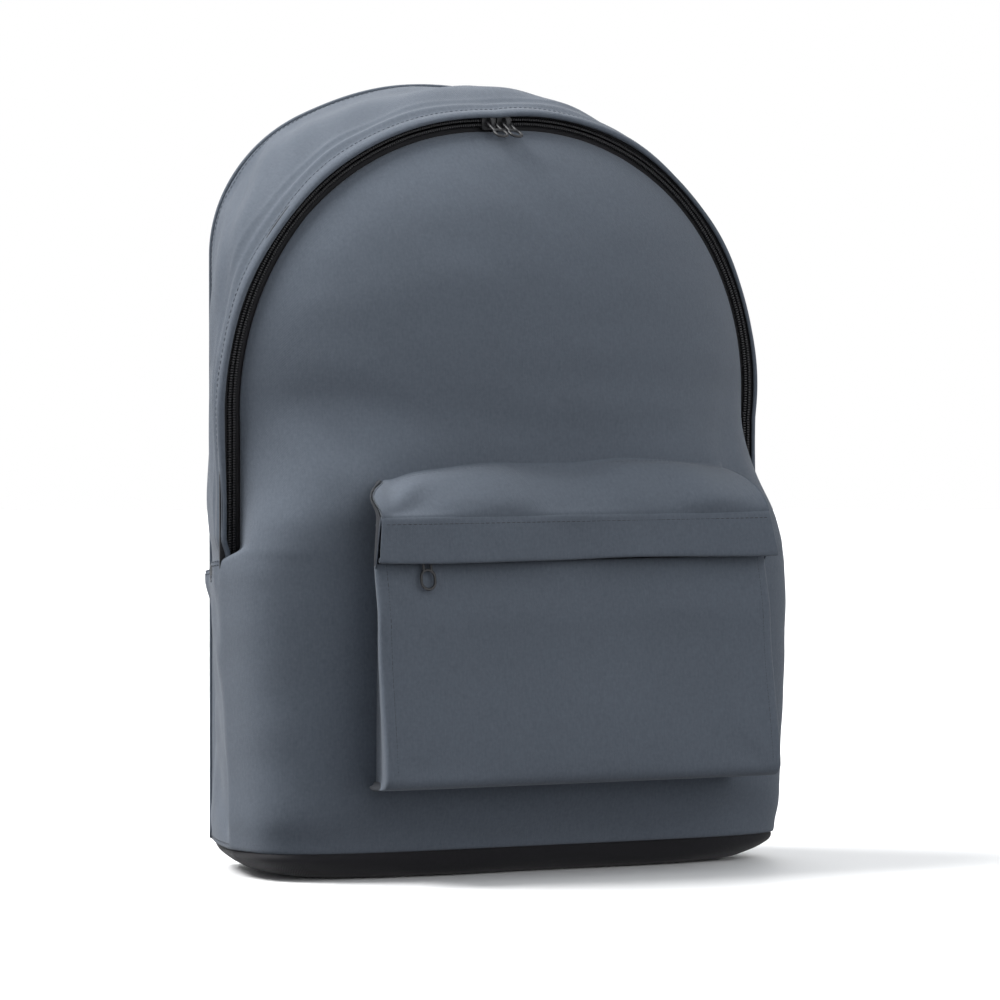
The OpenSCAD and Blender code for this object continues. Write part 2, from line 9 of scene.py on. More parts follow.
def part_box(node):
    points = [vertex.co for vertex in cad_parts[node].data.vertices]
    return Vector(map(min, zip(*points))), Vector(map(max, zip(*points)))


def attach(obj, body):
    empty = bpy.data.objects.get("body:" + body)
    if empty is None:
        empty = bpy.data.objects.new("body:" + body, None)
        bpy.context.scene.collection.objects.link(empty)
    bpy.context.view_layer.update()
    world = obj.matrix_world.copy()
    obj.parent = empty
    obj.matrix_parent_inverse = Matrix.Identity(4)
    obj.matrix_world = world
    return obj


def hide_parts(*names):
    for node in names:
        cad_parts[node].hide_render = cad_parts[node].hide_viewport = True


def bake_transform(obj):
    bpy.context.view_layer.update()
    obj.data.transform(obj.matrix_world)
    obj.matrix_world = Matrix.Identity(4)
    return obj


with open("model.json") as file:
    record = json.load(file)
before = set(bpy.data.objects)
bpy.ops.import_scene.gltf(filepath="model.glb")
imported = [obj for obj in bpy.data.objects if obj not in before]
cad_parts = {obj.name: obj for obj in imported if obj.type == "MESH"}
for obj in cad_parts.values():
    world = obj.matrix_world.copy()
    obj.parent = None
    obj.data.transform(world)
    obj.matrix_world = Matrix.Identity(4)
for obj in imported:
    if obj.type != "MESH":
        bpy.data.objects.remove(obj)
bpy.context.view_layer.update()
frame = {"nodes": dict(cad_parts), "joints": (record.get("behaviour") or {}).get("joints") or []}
JOINTS = {j["name"]: j for j in frame["joints"]}

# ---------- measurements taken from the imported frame, in metres ----------
coil_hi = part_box("main_zip_outer_coil")[1]
tape_lo, tape_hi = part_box("main_zip_outer_tape")
back_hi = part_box("back_panel")[1]
lining_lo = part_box("back_lining")[0]
gusset_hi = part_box("top_gusset")[1]
wall_lo, wall_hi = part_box("lower_body")
flap_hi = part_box("pocket_storm_flap")[1]
pzip_lo, pzip_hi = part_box("pocket_zip_tape")
pocket_lo, pocket_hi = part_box("pocket_wall")
hood_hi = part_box("pocket_hood")[1]
YZ = (tape_lo.y + tape_hi.y) / 2
R = coil_hi.x - 0.0023
MID = coil_hi.z - 0.0023 - R
OUT = gusset_hi.x - R            # the gusset's outer face, outside the zip's middle
HALF = R + OUT
YB = back_hi.y
BACK_F = YB - YZ
BACK_HALF = back_hi.x + 0.003
BACK_TOP = back_hi.z + 0.003
SEAM = wall_lo.z
END = wall_hi.z
BULGE = YZ - wall_lo.y
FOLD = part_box("front_panel")[0].z
IN = R - 0.0041
WRAP = END + 0.010             # top of the wrap where it meets the zip
DOME = FOLD - 0.002            # the dome's mesh starts here
RIGHT_SWELL, LEFT_SWELL = 0.0088, 0.0030    # how far the stuffing pushes each shoulder out
BACK_RISE, SHOULDER_R = 0.094, 0.085        # the back's outline: height of its arch, radius of its corners


def smooth(t):
    t = np.clip(t, 0.0, 1.0)
    return t * t * (3 - 2 * t)


def mix(a, b, t):
    return a + (b - a) * t


def waves(p, scale, seed, count=10, stretch=(1, 1, 1)):
    """Smooth seeded noise of about unit size at the points p, with features about 1/scale across."""
    rng = np.random.RandomState(seed)
    k = rng.normal(size=(count, 3)) * np.array(stretch) * scale * 2.2
    ph = rng.uniform(0, 2 * math.pi, count)
    return np.sin(p @ k.T + ph).sum(-1) / math.sqrt(count / 2)


# ---------- materials ----------
def shader(name, color, rough, metallic=0.0, sheen=0.0, spec=0.35):
    m = bpy.data.materials.new(name)
    m.use_nodes = True
    nt = m.node_tree
    b = nt.nodes["Principled BSDF"]
    b.inputs["Base Color"].default_value = (*color, 1)
    b.inputs["Roughness"].default_value = rough
    b.inputs["Metallic"].default_value = metallic
    b.inputs["Specular IOR Level"].default_value = spec
    b.inputs["Sheen Weight"].default_value = sheen
    b.inputs["Sheen Roughness"].default_value = 0.45
    return m, nt, b


def math_node(nt, op, a, b=None):
    n = nt.nodes.new("ShaderNodeMath")
    n.operation = op
    for i, v in enumerate((a, b)):
        if v is None:
            continue
        if isinstance(v, (int, float)):
            n.inputs[i].default_value = v
        else:
            nt.links.new(v, n.inputs[i])
    return n.outputs[0]


def noise(nt, vector, scale, detail):
    n = nt.nodes.new("ShaderNodeTexNoise")
    nt.links.new(vector, n.inputs["Vector"])
    n.inputs["Scale"].default_value, n.inputs["Detail"].default_value = scale, detail
    return n.outputs[0]


def tint(nt, b, value, dark, light):
    """Colours a surface between dark and light by a value, and returns the ramp."""
    ramp = nt.nodes.new("ShaderNodeValToRGB")
    nt.links.new(value, ramp.inputs[0])
    ramp.color_ramp.elements[0].color, ramp.color_ramp.elements[1].color = (*dark, 1), (*light, 1)
    nt.links.new(ramp.outputs[0], b.inputs["Base Color"])
    return ramp.color_ramp


def relief(nt, b, height, strength, distance):
    bp = nt.nodes.new("ShaderNodeBump")
    bp.inputs["Strength"].default_value, bp.inputs["Distance"].default_value = strength, distance
    nt.links.new(height, bp.inputs["Height"])
    nt.links.new(bp.outputs[0], b.inputs["Normal"])


def woven(name, color, pitch=0.0006, rough=0.82, sheen=0.12, vary=0.16, bump=0.35, depth=0.00018,
          second=None, twill=0.0, spec=0.25, blotch=0.10):
    """A plain weave on the UVs, which are in metres: threads over and under, with painted shade in the dips
    between threads, slubs and mottling.
    """
    m, nt, b = shader(name, color, rough, 0, sheen, spec)
    uv = nt.nodes.new("ShaderNodeUVMap")
    sep = nt.nodes.new("ShaderNodeSeparateXYZ")
    nt.links.new(uv.outputs[0], sep.inputs[0])
    k = math.pi / pitch
    u = math_node(nt, "MULTIPLY", sep.outputs[0], k)
    v = math_node(nt, "MULTIPLY", sep.outputs[1], k)
    if twill:
        u = math_node(nt, "ADD", u, math_node(nt, "MULTIPLY", v, twill))
    su, sv = math_node(nt, "SINE", u), math_node(nt, "SINE", v)
    over = math_node(nt, "GREATER_THAN", math_node(nt, "MULTIPLY", su, sv), 0.0)
    au, av = math_node(nt, "ABSOLUTE", su), math_node(nt, "ABSOLUTE", sv)
    h = nt.nodes.new("ShaderNodeMix")
    nt.links.new(over, h.inputs[0])
    nt.links.new(au, h.inputs[2])
    nt.links.new(av, h.inputs[3])
    # slubs: noise stretched along each thread direction, mottling, and a broad wash of wear
    scaled = nt.nodes.new("ShaderNodeMapping")
    nt.links.new(uv.outputs[0], scaled.inputs[0])
    scaled.inputs["Scale"].default_value = (1 / pitch, 0.12 / pitch, 1)
    coord = nt.nodes.new("ShaderNodeTexCoord").outputs["Object"]
    slub = noise(nt, scaled.outputs[0], 0.8, 2)
    grain, wash = noise(nt, coord, 620, 3), noise(nt, coord, 16, 3)
    total = math_node(nt, "ADD", math_node(nt, "MULTIPLY", slub, 0.8), math_node(nt, "MULTIPLY", grain, 1.2))
    # painted shade: the weave's height also goes into the colour, darker in the dips between threads and
    # lighter on their tops
    total = math_node(nt, "ADD", total, math_node(nt, "MULTIPLY", h.outputs[0], 0.25))
    total = math_node(nt, "SUBTRACT", total, 1.12)
    shift = math_node(nt, "MULTIPLY", total, vary * 2.4)
    wear = math_node(nt, "MULTIPLY", math_node(nt, "SUBTRACT", wash, 0.5), blotch * 2)
    level = math_node(nt, "ADD", math_node(nt, "ADD", shift, wear), 0.5)
    tint(nt, b, level, [c * 0.62 for c in color], [min(1, c * 1.38 + 0.002) for c in (second or color)])
    rgh = math_node(nt, "ADD", math_node(nt, "MULTIPLY", wash, 0.14), rough - 0.07)
    nt.links.new(rgh, b.inputs["Roughness"])
    relief(nt, b, math_node(nt, "ADD", h.outputs[0], math_node(nt, "MULTIPLY", slub, 1.5)), bump, depth)
    return m


def mesh_fabric(name, color, hole=0.0026):
    """Spacer mesh: small round holes in a knitted face, their darkness painted shade in place of real depth.
    """
    m, nt, b = shader(name, color, 0.85, 0, 0.15, 0.25)
    uv = nt.nodes.new("ShaderNodeUVMap")
    vor = nt.nodes.new("ShaderNodeTexVoronoi")
    nt.links.new(uv.outputs[0], vor.inputs["Vector"])
    vor.inputs["Scale"].default_value = 1 / hole
    vor.inputs["Randomness"].default_value = 0.12
    # painted shade: the hole centres are darkened and the knit between them lightened
    ramp = tint(nt, b, vor.outputs["Distance"], [c * 0.25 for c in color], [c * 1.5 for c in color])
    ramp.elements[0].position, ramp.elements[1].position = 0.16, 0.36
    relief(nt, b, vor.outputs["Distance"], 0.6, 0.0006)
    return m


def hard(name, color, rough, metallic=0.0, scratch=0.25, spec=0.5):
    """Moulded plastic or lacquered metal, with fine scuffs in the roughness and surface."""
    m, nt, b = shader(name, color, rough, metallic, 0, spec)
    fine = noise(nt, nt.nodes.new("ShaderNodeTexCoord").outputs["Object"], 900, 4)
    scuffs = math_node(nt, "ADD", math_node(nt, "MULTIPLY", fine, scratch), rough - scratch / 2)
    nt.links.new(scuffs, b.inputs["Roughness"])
    tint(nt, b, fine, [c * 0.75 for c in color], [c * 1.3 for c in color])
    relief(nt, b, fine, 0.12, 0.0001)
    return m


SHELL = woven("shell_fabric", (0.096, 0.114, 0.142), second=(0.101, 0.119, 0.147))
BASE = woven("base_fabric", (0.0095, 0.009, 0.0115), pitch=0.0008, vary=0.2, rough=0.8)
STRAP = woven("strap_fabric", (0.019, 0.019, 0.022), pitch=0.0008, vary=0.2, rough=0.8)
LINING = woven("lining_fabric", (0.028, 0.031, 0.037), pitch=0.00035, rough=0.7, sheen=0.05, bump=0.2)
MESH = mesh_fabric("spacer_mesh", (0.030, 0.030, 0.034))
WEBBING = woven("webbing_fabric", (0.021, 0.021, 0.024), pitch=0.0011, rough=0.6, vary=0.2, bump=0.7,
                depth=0.0004)
TAPE = woven("zip_tape_fabric", (0.009, 0.009, 0.011), pitch=0.0005, rough=0.75, bump=0.3)
THREAD = woven("thread", (0.05, 0.058, 0.07), pitch=0.0004, rough=0.6, bump=0.2)
DARK_THREAD = woven("dark_thread", (0.02, 0.02, 0.023), pitch=0.0004, rough=0.6, bump=0.2)
COIL = hard("nylon_coil", (0.014, 0.014, 0.016), 0.42)
METAL = hard("black_lacquer", (0.016, 0.016, 0.018), 0.5, metallic=0.1)
PLASTIC = hard("buckle_plastic", (0.017, 0.017, 0.019), 0.5)
FOAM = hard("foam", (0.3, 0.3, 0.29), 0.9, scratch=0.1)


# ---------- mesh building ----------
def make(name, verts, faces, mats, uvs=None, body="pack", levels=0, wall=0.0, face_mats=None, shade=True):
    me = bpy.data.meshes.new(name)
    me.from_pydata([tuple(v) for v in verts], [], [tuple(f) for f in faces])
    for m in (mats if isinstance(mats, (list, tuple)) else [mats]):
        me.materials.append(m)
    if uvs is None:
        uvs = np.asarray(verts)[:, [0, 2]]
    layer = me.uv_layers.new(name="UVMap")
    idx = np.empty(len(me.loops), np.int32)
    me.loops.foreach_get("vertex_index", idx)
    layer.data.foreach_set("uv", np.asarray(uvs, np.float32)[idx].ravel())
    me.polygons.foreach_set("use_smooth", [shade] * len(me.polygons))
    if face_mats is not None:
        me.polygons.foreach_set("material_index", face_mats)
    o = bpy.data.objects.new(name, me)
    bpy.context.scene.collection.objects.link(o)
    if wall:
        s = o.modifiers.new("wall", "SOLIDIFY")
        s.thickness = wall
        s.offset = -1
        if len(me.materials) > 1:
            s.material_offset = 1
    if levels:
        rounded(o, levels)
    if body:
        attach(o, body)
    return o


def weld(o, dist):
    """Joins the points of a mesh where its separate grids meet."""
    bm = bmesh.new()
    bm.from_mesh(o.data)
    bmesh.ops.remove_doubles(bm, verts=bm.verts, dist=dist)
    bm.to_mesh(o.data)
    bm.free()


def rounded(o, levels=1):
    s = o.modifiers.new("round", "SUBSURF")
    s.levels = s.render_levels = levels


def grid_faces(r, c, flip=False, wrap=False, base=0):
    out = []
    for i in range(r - 1):
        for j in range(c if wrap else c - 1):
            a, b = base + i * c + j, base + i * c + (j + 1) % c
            q = (a, b, b + c, a + c)
            out.append(q[::-1] if flip else q)
    return out


def run(points):
    """Distance along a row of points."""
    d = np.linalg.norm(np.diff(points, axis=0), axis=1)
    return np.concatenate([[0], np.cumsum(d)])


def grid_uv(p):
    r, c = p.shape[:2]
    u = np.stack([run(p[i]) for i in range(r)])
    u = u - u[:, [c // 2]]
    v = np.stack([run(p[:, j]) for j in range(c)], 1)
    return np.stack([u, v], -1)


def sheet_from(name, p, mats, flip=False, wrap=False, **kw):
    r, c = p.shape[:2]
    return make(name, p.reshape(-1, 3), grid_faces(r, c, flip, wrap), mats,
                grid_uv(p).reshape(-1, 2), **kw)


def normals_of(p):
    """Unit normals of a grid of points."""
    du, dv = np.gradient(p, axis=1), np.gradient(p, axis=0)
    n = np.cross(du, dv)
    return n / np.maximum(np.linalg.norm(n, axis=-1, keepdims=True), 1e-12)


def frames_along(path):
    t = np.gradient(path, axis=0)
    return t / np.maximum(np.linalg.norm(t, axis=1, keepdims=True), 1e-12)


def ribbon(name, path, across, width, thick, mat, body="pack", levels=1, edge=0.25):
    """A flat band along a path: across is its width direction at each point."""
    path, across = np.asarray(path, float), np.asarray(across, float)
    t = frames_along(path)
    a = across - (across * t).sum(1, keepdims=True) * t
    a /= np.linalg.norm(a, axis=1, keepdims=True)
    n = np.cross(t, a)
    w = np.broadcast_to(np.asarray(width, float).reshape(-1, 1), (len(path), 1))
    k = np.broadcast_to(np.asarray(thick, float).reshape(-1, 1), (len(path), 1))
    sides = [(-0.5, -edge), (-0.5, edge), (-0.46, 0.5), (0.0, 0.5), (0.46, 0.5), (0.5, edge), (0.5, -edge),
             (0.46, -0.5), (0.0, -0.5), (-0.46, -0.5)]
    rings = np.stack([path + a * w * s + n * k * h for s, h in sides], 1)
    c = len(sides)
    u = np.array([s for s, _ in sides]) * float(np.mean(w))
    uv = np.stack(np.broadcast_arrays(u[None, :], run(path)[:, None]), -1)
    faces = grid_faces(len(path), c, True, True)
    last = (len(path) - 1) * c
    faces += [tuple(range(c)), tuple(range(last + c - 1, last - 1, -1))]
    return make(name, rings.reshape(-1, 3), faces, mat, uv.reshape(-1, 2), body=body, levels=levels)


def stitches(name, path, normal, mat=THREAD, body="pack", pitch=0.003, length=0.0021, thick=0.00042,
             lift=0.0001):
    """Topstitching: short rounded threads laid along a path, each dipping into the cloth at its ends."""
    path, normal = np.asarray(path, float), np.asarray(normal, float)
    s = run(path)
    n = max(2, int(s[-1] / pitch))
    at = (np.arange(n) + 0.5) * s[-1] / n
    verts, faces, uvs = [], [], []
    prof = [(-0.5, 0.35, -0.6), (-0.3, 1.0, 0.25), (0.0, 1.05, 0.45), (0.3, 1.0, 0.25), (0.5, 0.35, -0.6)]
    for x in at:
        p = np.array([np.interp(x, s, path[:, k]) for k in range(3)])
        q = np.array([np.interp(min(x + 0.0008, s[-1]), s, path[:, k]) for k in range(3)])
        r0 = np.array([np.interp(max(x - 0.0008, 0), s, path[:, k]) for k in range(3)])
        t = (q - r0) / max(np.linalg.norm(q - r0), 1e-9)
        m = np.array([np.interp(x, s, normal[:, k]) for k in range(3)])
        m -= (m @ t) * t
        m /= max(np.linalg.norm(m), 1e-9)
        b = np.cross(t, m)
        base = len(verts)
        for f, w, h in prof:
            for k in range(6):
                a = k * math.pi / 3
                verts.append(p + t * length * f + m * (lift + thick * (0.5 * w * math.sin(a) + h * 0.6))
                             + b * thick * 0.5 * w * math.cos(a))
                uvs.append((length * f, thick * k / 3))
        faces += grid_faces(5, 6, False, True, base)
        faces += [tuple(base + k for k in range(5, -1, -1)), tuple(base + 24 + k for k in range(6))]
    return make(name, verts, faces, mat, uvs, body=body)


# ---------- arches ----------
def arc_R(half, rise, r):
    return r if abs(rise - r) < 1e-9 else ((half - r) ** 2 + rise ** 2 - r ** 2) / (2 * (rise - r))


def arch(s, half, top, rise, r, foot, off=0.0):
    """[x, z] of an arch at stations s, as in the CAD: 0 is the apex, 90 a leg's top and 150 its foot."""
    s = np.asarray(s, float)
    m, leg = np.minimum(np.abs(s), 90), np.maximum(np.abs(s) - 90, 0) / 60
    side = np.where(s < 0, -1.0, 1.0)
    big = arc_R(half, rise, r)
    ang = 45.0 if abs(rise - r) < 1e-9 else math.degrees(math.asin((half - r) / (big - r)))
    a = np.radians(m)
    x1, z1 = (big + off) * np.sin(a), top - big + (big + off) * np.cos(a)
    x2 = half - r + (r + off) * np.sin(a)
    z2 = (top - rise) + (r + off) * np.cos(a) - leg * ((top - rise) - foot)
    inner = m <= ang
    return np.stack([side * np.where(inner, x1, x2), np.where(inner, z1, z2)], -1)


def stations(leg, dome):
    """Stations round an arch: leg of them down each leg and dome of them over the top."""
    return np.concatenate([np.linspace(-150, -90, leg)[:-1], np.linspace(-90, 90, dome),
                           np.linspace(90, 150, leg)[1:]])


def settle(xz):
    """Pushes the stuffed dome's shoulders out of its half circle, the right one more than the left."""
    x, z = xz[..., 0], xz[..., 1] - MID
    r = np.maximum(np.hypot(x, z), 1e-6)
    phi = np.arctan2(np.abs(x), np.maximum(z, 0))
    move = np.where(x > 0, RIGHT_SWELL, LEFT_SWELL) * np.sin(2 * phi) * np.minimum(r / R, 1) ** 2 * (z > 0)
    return xz + np.stack([x / r * move, z / r * move], -1)


def zip_arch(s, off=0.0, foot=END):
    return settle(arch(s, R, MID + R, R, R, foot, off))


def back_arch(s, off=0.0, foot=END):
    """The back's outline, a little lower at its middle and its left shoulder, where the empty top slumps."""
    xz = arch(s, BACK_HALF, BACK_TOP, BACK_RISE, SHOULDER_R, foot, off)
    rise_b = smooth((xz[..., 1] - BACK_TOP + BACK_RISE) / BACK_RISE)
    left_b = smooth((-xz[..., 0] - 0.01) / 0.08)
    return xz + np.stack([0.0030 * left_b * rise_b, -(0.0024 + 0.0016 * left_b) * rise_b], -1)


def at(x, f, z):
    x, f, z = np.broadcast_arrays(x, f, z)
    return np.stack([x, YZ - f, z], -1)


# ---------- the front and side wrap ----------
def dome_share(z):
    return smooth((z - 0.182) / 0.070)


def exp_n(z):
    return mix(mix(4.5, 4.0, np.minimum(z / 0.182, 1)), 2.2, dome_share(z))


def exp_m(z):
    return mix(1 / exp_n(z), 0.8, dome_share(z))


def bulge(z):
    return BULGE - 0.007 * (1 - smooth((z - SEAM) / 0.030))


def half_low(z):
    return np.where(z <= END, mix(HALF - 0.006, HALF, smooth(z / END)),
                    mix(HALF, IN, smooth((z - END) / 0.050)))


def front_row(z, us):
    """Points of a level row of the front, evenly spaced along the cloth."""
    n, m, b, h = exp_n(z), exp_m(z), bulge(z), half_low(z)
    edge = 0.0016 * smooth((z - WRAP) / 0.004)
    a = np.radians(90 * (1 - np.linspace(0, 1, 700)))
    x = h * np.cos(a) ** (2 / n)
    f = edge + (b - edge) * np.sin(a) ** (2 * m)
    ledge = smooth((z - (WRAP - 0.0005 + 0.006 * np.clip(f / 0.028, 0, 1))) / 0.004)
    x = x - (h - IN) * smooth((0.028 - f) / 0.026) * ledge
    s = np.concatenate([[0], np.cumsum(np.hypot(np.diff(x), np.diff(f)))])
    t = np.abs(us) * s[-1]
    return at(np.sign(us) * np.interp(t, s, x), np.interp(t, s, f), z)


NU = 89
US = np.linspace(-1, 1, NU)
low_z = np.concatenate([np.linspace(SEAM, WRAP - 0.021, 32)[:-1], np.linspace(WRAP - 0.021, WRAP, 8)])
mid_z = np.concatenate([np.linspace(WRAP, WRAP + 0.015, 9)[1:], np.linspace(WRAP + 0.015, DOME, 12)[1:]])
front_low = np.stack([front_row(z, US) for z in low_z])
front_mid = np.stack([front_row(z, US) for z in mid_z])

# the dome: a Coons patch between the last level row and the arch
ROWS = 46
vs = np.linspace(0, 1, ROWS)
bottom = front_mid[-1][:, [0, 2]]
corner = 46.0
leg = MID - DOME
side_len = leg + math.radians(90 - corner) * IN
def side_curve(t):
    d = t * side_len
    a = np.radians(90) - np.maximum(d - leg, 0) / IN
    straight = d < leg
    return np.stack([np.where(straight, IN, IN * np.sin(a)),
                     np.where(straight, DOME + d, MID + IN * np.cos(a))], -1)
right = side_curve(vs)
left = right * np.array([-1, 1])
top_a = np.radians(corner) * US
top = np.stack([IN * np.sin(top_a), MID + IN * np.cos(top_a)], -1)
uu = (US + 1) / 2
V, U = np.meshgrid(vs, uu, indexing="ij")
V, U = V[..., None], U[..., None]
xz = ((1 - V) * bottom[None] + V * top[None] + (1 - U) * left[:, None] + U * right[:, None]
      - ((1 - U) * (1 - V) * bottom[0] + U * (1 - V) * bottom[-1] + (1 - U) * V * top[0] + U * V * top[-1]))
X, Z = xz[..., 0], xz[..., 1]
rho = np.clip(np.where(Z > MID, np.hypot(X, Z - MID), np.abs(X)) / IN, 0, 1)
F = 0.0016 + (BULGE - 0.0016) * (1 - rho ** exp_n(Z)) ** exp_m(Z)
dome = at(X, F, Z)[1:]
front_all = np.concatenate([front_low, front_mid, dome])
front_all[..., [0, 2]] = settle(front_all[..., [0, 2]])


def free(z, x):
    """How far the cloth is from its seams: 0 at the zip and the base seam, 1 in the open."""
    r = np.where(z > MID, np.hypot(x, z - MID), np.abs(x)) / IN
    return smooth((z - SEAM) / 0.02) * np.where(z > WRAP + 0.004, smooth((1 - r) / 0.12), 1.0)


def drape_front(p):
    """Low undulations of stuffed cloth, pulls from the pocket's corners, and a slack lower edge."""
    n = -normals_of(p)
    x, z = p[..., 0], p[..., 2]
    f = free(z, x)
    d = 0.0006 * waves(p, 10, 3) + 0.00016 * waves(p, 40, 4, stretch=(0.7, 1, 1.5))
    # pulls that run up and outward from the pocket's top corners
    for side in (-1, 1):
        dx, dz = x * side - 0.110, z - 0.212
        along = dx * 0.45 + dz * 0.9
        off = dx * 0.9 - dz * 0.45
        start, beyond = smooth(along / 0.02 + 0.4), np.maximum(along, 0)
        d += 0.0016 * np.exp(-(off / 0.010) ** 2) * start * np.exp(-beyond / 0.05)
        d -= 0.0013 * np.exp(-((off - 0.017) / 0.011) ** 2) * start * np.exp(-beyond / 0.04)
    # level sags over the pocket
    sags = np.sin((z - 0.222) * 190 + x * 9) * np.exp(-((z - 0.244) / 0.022) ** 2)
    d += 0.0006 * sags * smooth((x + 0.09) / 0.1)
    # slack cloth near the base seam
    d += 0.0018 * np.exp(-((z - 0.027) / 0.011) ** 2) * np.sin(x * 62 + 0.8)
    return p + n * (d * f)[..., None]


# the sides of the wrap, behind the zip
NV = 26
side_v = np.linspace(0, 1, NV)
rows = len(low_z)
low_share = (low_z - SEAM) / (WRAP - SEAM)


def side_wall(side):
    top_z = mix(WRAP, WRAP - 0.0090, side_v)
    z = SEAM + low_share[:, None] * (top_z[None] - SEAM)
    h = mix(HALF - 0.006, HALF, smooth(np.minimum(z, END) / END))
    x = mix(h, BACK_HALF, side_v[None]) + 0.003 * np.sin(math.pi * side_v)[None]
    lift = smooth((z - 0.133) / 0.030)
    x = x + 0.0012 * lift * smooth(side_v / 0.1)[None]
    # the fold stands out where the cloth is caught in the back seam
    x = x + 0.0035 * np.exp(-((z - 0.151) / 0.010) ** 2) * smooth((side_v - 0.55) / 0.45)[None]
    p = at(side * x, -BACK_F * side_v[None], z)
    n = np.array([side, 0, 0])
    d = 0.0016 * waves(p, 15, 7, stretch=(1, 1, 0.8)) + 0.0008 * waves(p, 30, 8)
    keep = smooth(side_v / 0.12) * smooth((1 - side_v) / 0.15)
    return p + n * (d * keep[None] * smooth((z - SEAM) / 0.02))[..., None]


draped = drape_front(front_all)
parts, faces = [draped.reshape(-1, 3)], grid_faces(len(front_all), NU)
uvs = [grid_uv(draped).reshape(-1, 2)]
for side in (-1, 1):
    w = side_wall(side)
    w[:, 0] = draped[:rows, 0 if side < 0 else -1]
    hem_in = w[-1] + np.array([-side * 0.0009, 0, -0.0004])
    hem_down = w[-1] + np.array([-side * 0.0011, 0, -0.009])
    hem_in[0], hem_down[0] = w[-1][0], w[-1][0] + np.array([0, 0.001, -0.003])
    g = np.concatenate([w, hem_in[None], hem_down[None]])
    base = sum(len(p) for p in parts)
    faces += grid_faces(len(g), NV, side < 0, False, base)
    uv = np.stack(np.broadcast_arrays(side * (0.19 + side_v[None] * 0.08), run(g[:, 5])[:, None]), -1)
    uvs.append(uv.reshape(-1, 2))
    parts.append(g.reshape(-1, 3))
shell = make("shell_front", np.concatenate(parts), faces, [SHELL, LINING], np.concatenate(uvs), body=None)
weld(shell, 0.00005)
s = shell.modifiers.new("wall", "SOLIDIFY")
s.thickness, s.offset, s.material_offset = 0.0014, -1, 1
rounded(shell)
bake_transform(shell)
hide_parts("lower_body", "front_middle", "front_panel")


def sample(g, i, j):
    """A grid's values at fractional rows i and columns j."""
    i, j = np.broadcast_arrays(np.asarray(i, float), np.asarray(j, float))
    i, j = np.clip(i, 0, g.shape[0] - 1.0001), np.clip(j, 0, g.shape[1] - 1.0001)
    a, b = i.astype(int), j.astype(int)
    p, q = (i - a)[..., None], (j - b)[..., None]
    return ((1 - p) * (1 - q) * g[a, b] + p * (1 - q) * g[a + 1, b]
            + (1 - p) * q * g[a, b + 1] + p * q * g[a + 1, b + 1])


def sew(name, g, i, j, side=1, mat=THREAD, body="pack", **kw):
    """Topstitching along the line through rows i and columns j of a grid; side turns its normals outward."""
    return stitches(name, sample(g, i, j), sample(normals_of(g), i, j) * side, mat, body, **kw)


front_side = -1
edge_rows = np.linspace(rows + 8, len(draped) - 1.8, 90)
top_cols = np.linspace(1.0, NU - 2.0, 70)
line_i = np.concatenate([edge_rows, np.full(70, len(draped) - 1.85), edge_rows[::-1]])
line_j = np.concatenate([np.full(90, 0.65), top_cols, np.full(90, NU - 1.65)])
o = sew("stitch_front_edge", draped, line_i, line_j, front_side, SHELL, body=None)
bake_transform(o)
sew("stitch_base_front", draped, 1.0, np.linspace(1, NU - 2, 120), front_side)
for side, name in ((-1, "left"), (1, "right")):
    w = side_wall(side)
    for k, off in enumerate((1.6, 4.6)):
        gap_i = np.full(40, rows - 1 - off / 4.4)
        sew("stitch_wrap_edge_%s_%d" % (name, k), w, gap_i, np.linspace(0.5, NV - 1.2, 40), side)
    sew("stitch_base_%s" % name, w, np.full(40, 0.7), np.linspace(0.5, NV - 1.5, 40), side)

# ---------- the gusset round the top ----------
arc_s = stations(31, 181)
gz = zip_arch(arc_s, 0, END - 0.004)
along = run(np.stack([gz[:, 0], gz[:, 1]], -1))
crown = np.cos(np.radians(np.minimum(np.abs(arc_s), 90))) ** 2
lip_o, lip_f = mix(0.0037, 0.0025, crown), mix(0.0022, 0.0056, crown)
lip = [(0.0060 + 0 * crown, 0.0004), (lip_o + 0.0008, lip_f * 0.45), (lip_o, lip_f * 0.8), (lip_o, lip_f),
       (lip_o + 0.0009, lip_f + 0.0007), (lip_o + 0.0023, lip_f + 0.0003), (0.0065 + 0 * crown, lip_f * 0.6),
       (0.0066 + 0 * crown, lip_f * 0.2)]
gv = np.concatenate([np.linspace(0, 0.2, 12)[1:], np.linspace(0.2, 0.92, 26)[1:],
                     np.linspace(0.92, 1, 6)[1:]])
flat_g, dir_g = zip_arch(arc_s, 0, END - 0.004), zip_arch(arc_s, 1, END - 0.004)
dir_g = dir_g - flat_g
dir_g[np.abs(arc_s) > 90] = np.stack([np.sign(arc_s), 0 * arc_s], -1)[np.abs(arc_s) > 90]
rows_g = [at(flat_g[:, 0] + dir_g[:, 0] * o, f, flat_g[:, 1] + dir_g[:, 1] * o) for o, f in lip]
outer, rear = zip_arch(arc_s, OUT, END - 0.004), back_arch(arc_s, 0, END - 0.004)
m90 = np.radians(np.minimum(np.abs(arc_s), 90))
nrm2 = np.stack([np.where(arc_s < 0, -1, 1) * np.sin(m90), np.cos(m90)], -1)
for v in gv:
    q = mix(outer, rear, v) + nrm2 * (0.003 + 0.003 * crown[:, None]) * math.sin(math.pi * v)
    rows_g.append(at(q[:, 0], mix(-0.0004, -BACK_F, v), q[:, 1]))
gusset = np.stack(rows_g)
depth = np.concatenate([np.linspace(-0.010, -0.001, len(lip)), gv * BACK_F])
n_out = np.stack([nrm2[:, 0], np.zeros(len(arc_s)), nrm2[:, 1]], -1)
S2, D2 = np.meshgrid(along, depth)
pts = np.stack([S2, D2, 0 * S2], -1)
long_crease = waves(pts, 1, 21, 14, (9, 70, 0)) * 0.0009 + waves(pts, 1, 22, 12, (26, 34, 0)) * 0.0009
